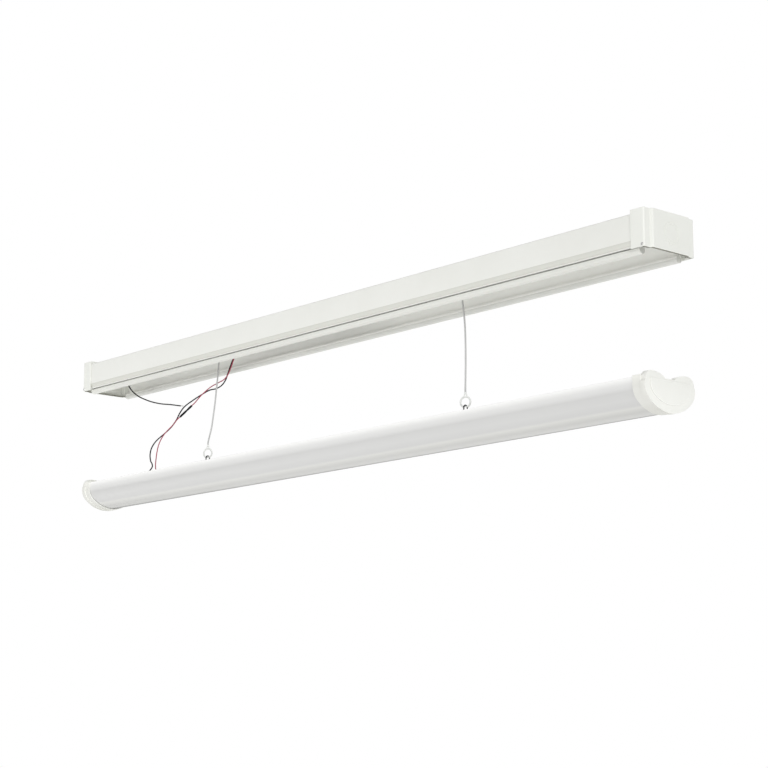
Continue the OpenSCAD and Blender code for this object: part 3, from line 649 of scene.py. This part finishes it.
def make_opal_acrylic_with_painted_shade():
    """Milky sheet with painted light and shade by height, and painted shade where it is seen edge-on."""
    material = make_finish("opal_acrylic", (1, 1, 0.995), (0.985, 0.985, 0.98), 0.3, relief=0.02, patch=6)
    nodes, links = material.node_tree.nodes, material.node_tree.links
    toned = paint_light_and_shade_by_height(material, DIFFUSER_PAINTED_SHADING)
    # painted shade: a near black band where the sheet is seen edge-on, for the dark line along its lower
    # outline
    edge_on = add_node(nodes, "LayerWeight", {"Blend": 0.5})
    band = add_node(nodes, "MapRange", {"From Min": 0.83, "From Max": 0.9})
    shaded = add_node(nodes, "Mix", {"B": (0.06, 0.06, 0.05, 1)}, data_type="RGBA")
    links.new(edge_on.outputs["Facing"], band.inputs["Value"])
    links.new(band.outputs["Result"], shaded.inputs["Factor"])
    links.new(toned.outputs["Result"], shaded.inputs["A"])
    links.new(shaded.outputs["Result"], nodes["Principled BSDF"].inputs["Base Color"])


make_opal_acrylic_with_painted_shade()
# painted shade: the bar caps' sides darken towards the bottom
paint_light_and_shade_by_height(FINISHES["side_plastic_painted_shade"], CAP_SIDE_PAINTED_SHADE)


def paint(piece, *finishes):
    piece.data.materials.clear()
    for finish in finishes:
        piece.data.materials.append(FINISHES[finish])


# ---- Housing ----

LIP_END = 0.5955          # the lips and feet are cut away beyond this, at each end of the channel
LIP_TURN = 388            # the lip's sheet rolls on to this angle, in degrees

# Embossed pads with a slot for the ceiling screws
PAD_X = (-0.45, 0.45)
PAD_FOOT_R = 0.0222
PAD_TOP_R = 0.0165
PAD_HOLE_R = 0.0215
SLOT_R = 0.003
SLOT_REACH = 0.005        # from the pad's middle to the middle of the slot's round end
SLOT_CUT = (-0.006, 0.004)

# Holes in the roof: x, y and radius
FEED_HOLE = (-0.52, 0, 0.011)
GROUND_HOLE = (-0.545, 0.02, 0.0016)
TETHER_HOLE_R = 0.0026
DRIVER_HOLES = ((-0.229, 0, 0.0016), (0.045, 0, 0.0016))
ROOF_CUT = (-0.01, 0.01)


def channel_side():
    """Middle of the sheet on the +Y side, from the middle of the roof to the end of the rolled lip."""
    half = SHEET / 2
    return (
        [(0, ROOF_Z - half)]
        + arc((CHANNEL_Y - ROOF_BEND, ROOF_Z - ROOF_BEND), ROOF_BEND - half, 90, 0, 6)
        + arc((CHANNEL_Y - FOOT_BEND, FOOT_Z), FOOT_BEND - half, 0, -90, 10)
        + arc(LIP, LIP_OUTER - half, 90, LIP_TURN, 33)
    )


def make_pad(x):
    """Embossed pad that stands up from the roof to the ceiling, with a slot along X."""
    start_clean()
    bpy.ops.mesh.primitive_cone_add(
        vertices=48, radius1=PAD_FOOT_R, radius2=PAD_TOP_R, depth=-ROOF_Z,
        location=(x, 0, (ROOF_Z - SHEET) / 2),
    )
    pad = named("pad")
    delete_faces(pad, lambda middle: middle.z < ROOF_Z - SHEET / 2 + NEAR)
    thicken(pad, SHEET)
    low, high = SLOT_CUT
    for reach in (-SLOT_REACH, SLOT_REACH):
        cut(pad, rod(x + reach, 0, low, high, SLOT_R, 24))
    cut(pad, block("slot", (x - SLOT_REACH, -SLOT_R, low), (x + SLOT_REACH, SLOT_R, high)))
    return pad


def make_crimp(end, side):
    """End of a rolled lip, pinched shut."""
    thickness = 0.0012
    radius = LIP_OUTER - 0.0003
    set_in = 0.0001
    start_clean()
    bpy.ops.mesh.primitive_cylinder_add(
        vertices=32, radius=radius, depth=thickness, rotation=(0, math.pi / 2, 0),
        location=(end * (LIP_END - set_in - thickness / 2), side * LIP[0], LIP[1]),
    )
    crimp = named("crimp")
    soften(crimp, SHEET_EDGE, 2, 50)
    return crimp


def make_channel():
    """Folded sheet with its end tabs, its holes, the two pads and the pinched ends of the lips."""
    side = channel_side()
    tab_length = CHANNEL_X - TAB_START
    cut_back = TAB_START - LIP_END
    channel = draw_line("channel_sheet", in_section(other_side(side)[:-1] + side, -CHANNEL_X))
    pull(channel, (tab_length, 0, 0))
    for step in (cut_back, 2 * LIP_END, cut_back, tab_length):
        pull_again((step, 0, 0))
    delete_faces(channel, lambda middle: middle.z < FOOT_Z - HAIR and abs(middle.x) > LIP_END)
    for end in SIDES:
        for side_y in SIDES:
            y = side_y * (CHANNEL_Y - SHEET / 2)
            tab = draw_line("tab", [(end * TAB_START, y, FOOT_Z), (end * CHANNEL_X, y, FOOT_Z)])
            pull(tab, (0, 0, TAB_Z - FOOT_Z))
            channel = join([channel, tab], "channel_sheet")
    face_out(channel)
    face_towards(channel, UP, above=ROOF_Z - SHEET)
    thicken(channel, SHEET)
    for x in PAD_X:
        cut(channel, rod(x, 0, *ROOF_CUT, PAD_HOLE_R, 48))
    tether_holes = [(route[0][0], 0, TETHER_HOLE_R) for route in (TETHER_LEFT, TETHER_RIGHT)]
    for x, y, radius in (FEED_HOLE, GROUND_HOLE, *tether_holes, *DRIVER_HOLES):
        cut(channel, rod(x, y, *ROOF_CUT, radius))
    pads = [make_pad(x) for x in PAD_X]
    crimps = [make_crimp(end, side_y) for end in SIDES for side_y in SIDES]
    channel = join([channel] + pads + crimps, "channel_sheet")
    smooth(channel, 30)
    return dress(channel, "housing", ["channel"])


# Plan of a housing end cap
CAP_CORNER = 0.0022
SLOPE_Y = 0.0356          # where the slope to the raised panel starts on a wing
SLOPE = ((0.0004, 0.0349), (0.0032, 0.0332), (CAP_PANEL, 0.0325))   # its other points: rise and y

# Two scored rings of conduit knockouts in the raised panel
SCORE_RADII = (0.0109, 0.0138)
SCORE_WIDTH = 0.00084
SCORE_Z = CAP_Z + 0.022

CAP_SCREW_X = 0.606
CAP_SCREW_Z = CAP_Z + 0.003
CAP_SCREW_R = 0.0013

# Flange folded in along the lower edge, and hem below the top web
FOLD_IN = 0.001           # from the cap's outside
FOLD_DEPTH = 0.004
FOLD_SLOPE = ((0.0345, 0.0335), (0.0327, 0.0317))   # y outside and inside, at its foot and at its head
FOLD_Y = 0.0428
FOLD_LOW = CAP_Z + 0.0001
FOLD_WALL = 0.0009
HEM = 0.001
HEM_Y = 0.0442


def cap_plan_side(inset):
    """Plan of a housing end cap on the +Y side, from the wing's edge to the raised panel."""
    rim = arc((CAP_FLANGE_X - CAP_CORNER, CAP_Y - CAP_CORNER), CAP_CORNER - inset, 90, 0, 6)
    slope = [(CAP_FLANGE_X + rise - inset, y - inset / 2) for rise, y in SLOPE]
    return [(CAP_INNER_X, CAP_Y - inset)] + rim + [(CAP_FLANGE_X - inset, SLOPE_Y)] + slope


def make_fold():
    """Narrow flange turned in along the lower edge of a housing end cap."""
    wing_x = CAP_FLANGE_X - FOLD_IN
    (foot, foot_inside), (head, head_inside) = FOLD_SLOPE
    outer = [(wing_x, FOLD_Y), (wing_x, foot), (CAP_FACE_X - FOLD_IN, head)]
    inner = [(wing_x - FOLD_DEPTH, FOLD_Y), (wing_x - FOLD_DEPTH, foot_inside), (CHANNEL_X, head_inside)]
    plan = outer + [(x, -y) for x, y in reversed(outer)] + [(x, -y) for x, y in inner] + inner[::-1]
    fold = draw_line("fold", [(x, y, FOLD_LOW) for x, y in plan], closed=True)
    pull(fold, (0, 0, FOLD_WALL))
    face_out(fold)
    # the fold's dark coat is painted shade
    paint(fold, "fold_painted_shade")
    return fold


def score_rings(cap):
    for radius in SCORE_RADII:
        start_clean()
        bpy.ops.mesh.primitive_torus_add(
            major_radius=radius, minor_radius=SCORE_WIDTH / 2, major_segments=72, minor_segments=8,
            location=(CAP_FACE_X, 0, SCORE_Z), rotation=(0, math.pi / 2, 0),
        )
        cut(cap, named("score"))


def drill_screw_holes(cap):
    for side in SIDES:
        hole = rod(0, 0, -0.003, 0.003, CAP_SCREW_R, 20)
        hole.rotation_euler = (math.pi / 2, 0, 0)
        hole.location = (CAP_SCREW_X, side * CAP_Y, CAP_SCREW_Z)
        pick(hole)
        cut(cap, named("hole"))


def make_housing_cap():
    """Top web with walls, a raised panel between two wings, scored rings, screw holes, flange and hem."""
    top = -CAP_WALL / 2
    side = cap_plan_side(CAP_WALL / 2)
    plan = side + [(x, -y) for x, y in reversed(side)]
    cap = draw_line("housing_cap", [(x, y, top) for x, y in plan], closed=True)
    # walls hang from the rim of the top web, and the inner edge stays open
    pick(cap)
    deselect_in("EDGE")
    points = cap.data.vertices
    for edge in cap.data.edges:
        edge.select = not all(abs(points[k].co.x - CAP_INNER_X) < NEAR for k in edge.vertices)
    pull_edges((0, 0, CAP_Z - top))
    face_out(cap)
    face_towards(cap, UP)
    thicken(cap, CAP_WALL)
    soften(cap, SHEET_EDGE, 2, 50)
    score_rings(cap)
    drill_screw_holes(cap)
    hem = block("hem", (CAP_INNER_X, -HEM_Y, ROOF_Z + 0.0001), (CAP_INNER_X + HEM, HEM_Y, top))
    paint(cap, "cap_paint")
    paint(hem, "cap_paint")
    cap = join([cap, hem, make_fold()], "housing_cap")
    smooth(cap, 20)
    return cap


# ---- Light bar ----

# Diffuser
LENS_WALL = 0.0016
LENS_INSET = 0.0022       # of its outside from the end caps' outside
LENS_LIP_Y = (0.0394, 0.0416)

# End cap: its ears, its skirt over the diffuser, the raised panel in its face and the ribs inside
EAR_CORNER = 0.011
EAR_NOTCH = (0.009, EAR_Z - 0.007)
# Rise of an ear from the notch to its top, in millimetres: across, up, and how an inset moves each point
EAR_RISE = ((0, 0, 0.55, 1), (1, 1.6, 0.73, 0.73), (4, 3.5, 0.44, 0.9), (8.5, 5.1, 0.29, 0.96),
            (13.5, 6.3, 0.18, 0.98), (19, 7, 0.06, 1))
SHOULDER_IN = 0.0015      # an ear's side stands in by this, down to the shoulder
SHOULDER_DROP = 0.0008    # below the ear's round corner
SHOULDER_FOOT = 0.003
RIM_DEPTH = 0.008         # the cap's rim reaches back from its face
SKIRT_WALL = 0.0011
SKIRT_INSET = 0.00135
SKIRT_TOP = EAR_Z - 0.0052
SKIRT_LENGTH = 0.013
PANEL_INSET = 0.0096
PANEL_TOP = EAR_Z - 0.0095
PANEL_BACK = 0.0002       # the panel starts this far inside the face
RIB_X = (0.5958, BAR_X - 0.001)
RIB_Y = (0.028, 0.036)
BACK_X = 0.5966           # plates that close the ears from behind
BACK_WALL = 0.001
BACK_INSET = 0.0012
BACK_LOW = EAR_Z - 0.006


def belly(inset):
    """Underside of the bar inset by a distance, from the foot of its +Y side to that of its -Y side."""
    turn = math.degrees(SIDE_TURN)
    side = arc((SIDE_Y, SIDE_Z), SIDE_R - inset, 0, turn, 8)
    bottom = arc((0, BELLY_Z), BELLY_R - inset, turn, -180 - turn, 24)
    return side + bottom[1:-1] + other_side(side)


def basket(inset, top):
    return [(BAR_Y - inset, top)] + belly(inset) + [(inset - BAR_Y, top)]


def tray_grips(name, x, y):
    """Strips above and below the tray's edge on both sides, between two places along X and two along Y."""
    strips = []
    for side in SIDES:
        for z in GRIP_Z:
            y0, y1 = sorted(side * edge for edge in y)
            strips.append(block(name, (x[0], y0, z), (x[1], y1, z + GRIP)))
    return strips


def make_lens():
    """Diffuser: a long basket of opal sheet, with lips that hold the tray."""
    lens = draw_line("diffuser", in_section(basket(LENS_INSET + LENS_WALL / 2, LENS_TOP), -LENS_X))
    pull(lens, (2 * LENS_X, 0, 0))
    face_out(lens)
    face_towards(lens, DOWN)
    thicken(lens, LENS_WALL)
    lips = tray_grips("lip", (-LENS_X, LENS_X), LENS_LIP_Y)
    for lip in lips:
        soften(lip, FINE_EDGE, 2, 30)
    lens = join([lens] + lips, "diffuser")
    soften(lens, FINE_EDGE, 2, 60)
    smooth(lens, 14)
    return dress(lens, "light_bar", ["lens"])


def ear(inset):
    """Right ear of a bar end cap, from the notch over the ear to its shoulder."""
    notch_y, notch_z = EAR_NOTCH
    edge = BAR_Y - SHOULDER_IN
    corner_z = EAR_Z - EAR_CORNER
    rise = [
        Vector((notch_y + across / 1000 + moved * inset, notch_z + up / 1000 - lowered * inset))
        for across, up, moved, lowered in EAR_RISE
    ]
    lower = corner_z - 0.3 * inset
    return (
        [tuple(point) for point in smooth_line(rise, 3)]
        + arc((edge - EAR_CORNER, corner_z), EAR_CORNER - inset, 90, 0, 12)
        + [(edge - inset, lower - SHOULDER_DROP), (BAR_Y - inset, lower - SHOULDER_FOOT)]
    )


def make_skirt():
    """Stepped edge of a bar end cap, which laps over the diffuser."""
    skirt = draw_line("skirt", in_section(basket(SKIRT_INSET, SKIRT_TOP), SKIRT_X))
    pull(skirt, (SKIRT_LENGTH, 0, 0))
    face_out(skirt)
    thicken(skirt, SKIRT_WALL)
    soften(skirt, FINE_EDGE, 2, 60)
    return skirt


def make_panel():
    """Raised panel in the face of a bar end cap."""
    panel = draw_line("panel", in_section(basket(PANEL_INSET, PANEL_TOP), BAR_X - PANEL_BACK), closed=True)
    pull(panel, (PANEL_BACK + BAR_PANEL, 0, 0))
    face_out(panel)
    soften(panel, PANEL_EDGE, 3, 50)
    return panel


def make_ear_back(side):
    shape = [point for point in ear(BACK_INSET) if point[1] > BACK_LOW]
    back = draw_line("back", in_section(shape if side > 0 else other_side(shape), BACK_X), closed=True)
    pull(back, (BACK_WALL, 0, 0))
    face_out(back)
    return back


def make_bar_cap():
    """Face with two ears over the belly's arcs, with its rim, skirt, panel, ribs and ear backs."""
    half = BAR_WALL / 2
    outline = ear(half) + belly(half) + other_side(ear(half))
    cap = draw_line("bar_cap", in_section(outline, BAR_X - half), closed=True)
    pick(cap)
    edit()
    bpy.ops.mesh.extrude_edges_move(TRANSFORM_OT_translate={"value": (half - RIM_DEPTH, 0, 0)})
    close()
    face_out(cap)
    face_towards(cap, (1, 0, 0))
    thicken(cap, BAR_WALL)
    soften(cap, BAR_CAP_EDGE, 3, 50)
    pieces = [cap, make_skirt(), make_panel()]
    pieces += tray_grips("rib", RIB_X, RIB_Y)
    pieces += [make_ear_back(side) for side in SIDES]
    cap = join(pieces, "bar_cap")
    smooth(cap, 20)
    return cap


# ---- Hooks and bails ----

# The hook's eye, which carries the tether, over its ring
EYE_R = 0.0017
EYE_WIRE = 0.0016
EYE_STRAIGHT = 0.0008     # between the eye's two round ends
EYE_Z = RING_Z + RING_R + EYE_R
EYE_TOP = EYE_Z + EYE_STRAIGHT + EYE_R
TIP_ACROSS = (0.0004, 0.0016, 0.0026)   # points along a tip, from its end to where the ring takes over
TIP_TAPER = (2 / 3, 0.8, 0.92)          # and its width there
SHOULDER_WIRE = 0.0015
COLLAR_D = 0.0032
COLLAR_TOP = TETHER_LEFT[-1][2]


def turned(points, x, turn):
    """Points of an upright section (u, z) turned about the Z axis through (x, 0)."""
    return [(x + u * math.cos(turn), u * math.sin(turn), z) for u, z in points]


def make_ring(x):
    """Open ring with two tapered tips that meet inside the bail."""
    ring = arc((0, RING_Z), RING_R, RING_GAP - 90, 270 - RING_GAP, 40)
    end, middle, root = TIP_ACROSS
    tip = [(end, TIP_Z), (middle, TIP_Z), (root, TIP_Z + 0.0001)]
    line = tip + ring + [(-u, z) for u, z in reversed(tip)]
    widths = [*TIP_TAPER] + [1] * len(ring) + [*reversed(TIP_TAPER)]
    return tube("ring", turned(line, x, RING_TURN), RING_WIRE, 4, radii=widths)


def make_eye(x):
    lower = arc((0, EYE_Z), EYE_R, 180, 360, 12)
    upper = arc((0, EYE_Z + EYE_STRAIGHT), EYE_R, 0, 180, 12)
    return tube("eye", turned(lower + upper, x, RING_TURN), EYE_WIRE, 3, closed=True)


def make_shoulder(x, side):
    """Straight stay from the eye's top down to the ring."""
    stay = ((0.0006, EYE_TOP + 0.0004), (0.0022, EYE_TOP - 0.0028), (0.0048, RING_Z + 0.0051))
    slope = [(side * u, z) for u, z in stay]
    return tube("shoulder", turned(slope, x, RING_TURN), SHOULDER_WIRE, 3, radii=[0.7, 1, 0.9])


def make_collar(x):
    heights = (EYE_TOP - 0.0012, EYE_TOP, COLLAR_TOP - 0.0005, COLLAR_TOP)
    return tube("collar", [(x, 0, z) for z in heights], COLLAR_D, 4, radii=[0.6, 1, 1, 0.85])


def make_hook(side_name, x):
    """Snap hook: an open ring under a small eye, with two shoulders and a collar for the tether."""
    parts = [make_ring(x), make_eye(x)]
    shoulders = [make_shoulder(x, side) for side in SIDES]
    hook = join(parts + [make_collar(x)] + shoulders, "snap_hook_" + side_name)
    smooth(hook, 50)
    return dress(hook, "light_bar", ["hook_" + side_name])


def make_bail(side_name, x):
    """Upright wire bail across the tray, with its legs let into the sheet."""
    crown = arc((0, TIP_Z + TIP_R + BAIL_GAP + BAIL_WIRE / 2 - BAIL_R), BAIL_R, 0, 180, 16)
    leg = [(BAIL_R, TRAY_Z - 0.001), (BAIL_R, TRAY_Z + 0.001)]
    line = leg + crown + [(-u, z) for u, z in reversed(leg)]
    bail = tube("wire_bail_" + side_name, turned(line, x, math.pi / 2), BAIL_WIRE, 4)
    return dress(bail, "light_bar", ["bail_" + side_name])


channel_sheet = make_channel()
right_cap = make_housing_cap()
left_cap = mirrored(right_cap, "housing_end_cap_left")
right_cap.name = "housing_end_cap_right"
dress(right_cap, "housing", ["housing_cap_right"])
dress(left_cap, "housing", ["housing_cap_left"])
diffuser = make_lens()
right_bar_cap = make_bar_cap()
left_bar_cap = mirrored(right_bar_cap, "bar_end_cap_left")
right_bar_cap.name = "bar_end_cap_right"
dress(right_bar_cap, "light_bar", ["bar_cap_right"])
dress(left_bar_cap, "light_bar", ["bar_cap_left"])
hooks = []
bails = []
for side_name, bail_x in zip(("left", "right"), BAIL_X):
    hooks.append(make_hook(side_name, bail_x))
    bails.append(make_bail(side_name, bail_x))


# ---- Finishes, and painted light and shade, on the pieces ----

# Thresholds that tell the channel's faces apart, by their distance from the middle and their height
WALL_INSIDE = CHANNEL_Y - 0.0008
FOOT_LOW = FOOT_Z - FOOT_BEND
FOOT_BELOW = FOOT_LOW - 0.0006
FOOT_START_Y = LIP[0] + 0.002
LIP_TOP = FOOT_LOW + 0.001

# Thresholds for the bar caps: sides are below the shoulders, and rims are near the face
CAP_SIDE_TOP = EAR_Z - 0.005
CAP_RIM_X = BAR_X - 0.002


def paint_channel_light_and_shade(channel):
    """Painted light and shade: the inside and the upward faces of the lips' inner halves are painted
    lighter; the feet, the lips' inner halves and the rolls are painted darker.
    """
    paint(channel, "white_paint", "inner_painted_light", "foot_painted_shade", "lip_painted_shade", "roll_painted_shade")
    inner, foot, lip, roll = range(1, 5)
    for face in channel.data.polygons:
        y, z = abs(face.center.y), face.center.z
        inward = face.normal.y * face.center.y < 0 or face.normal.z < -0.9
        if inward and y < WALL_INSIDE and z > FOOT_LOW:
            face.material_index = inner
        elif FOOT_BELOW < z < FOOT_Z and y > FOOT_START_Y:
            face.material_index = foot
        elif z < LIP_TOP and y < LIP[0]:
            face.material_index = inner if face.normal.z > 0.1 else lip
        elif z < FOOT_BELOW:
            face.material_index = roll


def paint_bar_cap_shade_and_highlight(cap):
    """Painted shade on the sides below the ears, and a painted highlight on the rims round the face and
    its panel.
    """
    paint(cap, "white_plastic", "side_plastic_painted_shade", "rim_painted_highlight")
    side, rim = 1, 2
    for face in cap.data.polygons:
        slant = abs(face.normal.x)
        if slant < 0.3 and face.center.z < CAP_SIDE_TOP:
            face.material_index = side
        elif slant < 0.97 and abs(face.center.x) > CAP_RIM_X:
            face.material_index = rim


SLOTS = {row["node"]: row["material_slot"] for row in frame["record"]["subparts"]}
for node_name, node_piece in frame["nodes"].items():
    for place in node_piece.material_slots:
        place.material = FINISHES[SLOTS[node_name]]
paint_channel_light_and_shade(channel_sheet)
for bar_cap in (right_bar_cap, left_bar_cap):
    paint_bar_cap_shade_and_highlight(bar_cap)
paint(diffuser, "opal_acrylic")
for piece in hooks:
    paint(piece, "white_nylon")
for piece in bails:
    paint(piece, "dark_wire")
for piece in (tether_left, tether_right):
    paint(piece, "tether_vinyl")
for piece in (black_lead, black_tap, splice):
    paint(piece, "black_insulation")
paint(red_lead, "red_insulation")
paint(ferrule, "tin_plate")


# ---- Studio ----

FLOOR_Z = -2.7
FLOOR_GLOW = 0.46         # lifts the floor to white for the camera
ROOM_LIGHT = 0.42


def seen_directly(nodes, links):
    """1 for what the camera sees, and for what shows in gloss and glass."""
    path = add_node(nodes, "LightPath")
    seen = add_node(nodes, "Math", operation="MAXIMUM")
    links.new(path.outputs["Is Camera Ray"], seen.inputs[0])
    links.new(path.outputs["Is Glossy Ray"], seen.inputs[1])
    either = add_node(nodes, "Math", operation="MAXIMUM")
    links.new(seen.outputs["Value"], either.inputs[0])
    links.new(path.outputs["Is Transmission Ray"], either.inputs[1])
    return either.outputs["Value"]


def make_world():
    """Plain even light, seen as white by the camera and in gloss and glass."""
    world = bpy.data.worlds.new("studio")
    SCENE.world = world
    world.use_nodes = True
    nodes, links = world.node_tree.nodes, world.node_tree.links
    nodes.clear()
    leave = add_node(nodes, "OutputWorld")
    plain = add_node(nodes, "Background", {"Color": (1, 1, 1, 1), "Strength": ROOM_LIGHT})
    white = add_node(nodes, "Background", {"Color": (1, 1, 1, 1)})
    mix = add_node(nodes, "MixShader")
    links.new(seen_directly(nodes, links), mix.inputs["Fac"])
    links.new(plain.outputs["Background"], mix.inputs[1])
    links.new(white.outputs["Background"], mix.inputs[2])
    links.new(mix.outputs["Shader"], leave.inputs["Surface"])


def make_floor():
    start_clean()
    bpy.ops.mesh.primitive_plane_add(size=40, location=(0, 0, FLOOR_Z))
    floor = named("floor")
    material = bpy.data.materials.new("floor_white")
    material.use_nodes = True
    nodes, links = material.node_tree.nodes, material.node_tree.links
    shader = nodes["Principled BSDF"]
    shader.inputs["Base Color"].default_value = (0.85, 0.85, 0.85, 1)
    shader.inputs["Roughness"].default_value = 0.9
    shader.inputs["Emission Color"].default_value = (1, 1, 1, 1)
    glow = add_node(nodes, "Math", {1: FLOOR_GLOW}, operation="MULTIPLY")
    links.new(seen_directly(nodes, links), glow.inputs[0])
    links.new(glow.outputs["Value"], shader.inputs["Emission Strength"])
    # the floor is clear from below, so that the light can be looked at from there
    side = add_node(nodes, "NewGeometry")
    clear = add_node(nodes, "BsdfTransparent")
    mix = add_node(nodes, "MixShader")
    links.new(side.outputs["Backfacing"], mix.inputs["Fac"])
    links.new(shader.outputs["BSDF"], mix.inputs[1])
    links.new(clear.outputs["BSDF"], mix.inputs[2])
    links.new(mix.outputs["Shader"], nodes["Material Output"].inputs["Surface"])
    floor.data.materials.append(material)


def add_lamp(kind, name, location, target, energy):
    direction = Vector(target) - Vector(location)
    rotation = direction.to_track_quat("-Z", "Y").to_euler()
    bpy.ops.object.light_add(type=kind, location=location, rotation=rotation)
    lamp = bpy.context.object
    lamp.name = name
    lamp.data.energy = energy
    return lamp.data


def area_lamp(name, location, target, size, energy):
    add_lamp("AREA", name, location, target, energy).size = size


def sun_lamp(name, location, strength, spread):
    add_lamp("SUN", name, location, (0, 0, 0), strength).angle = math.radians(spread)


make_world()
make_floor()
sun_lamp("key_lamp", (2.6, -1.5, 0.9), 1.33, 40)
area_lamp("floor_glow", (0, 0, -1.25), (0, 0, 0), 6, 56)
area_lamp("front_glow", (-0.25, -2.6, -1.15), (-0.1, 0, -0.05), 1.8, 17)
area_lamp("back_glow", (0.25, 2.6, -0.9), (0.1, 0, -0.05), 1.8, 14)
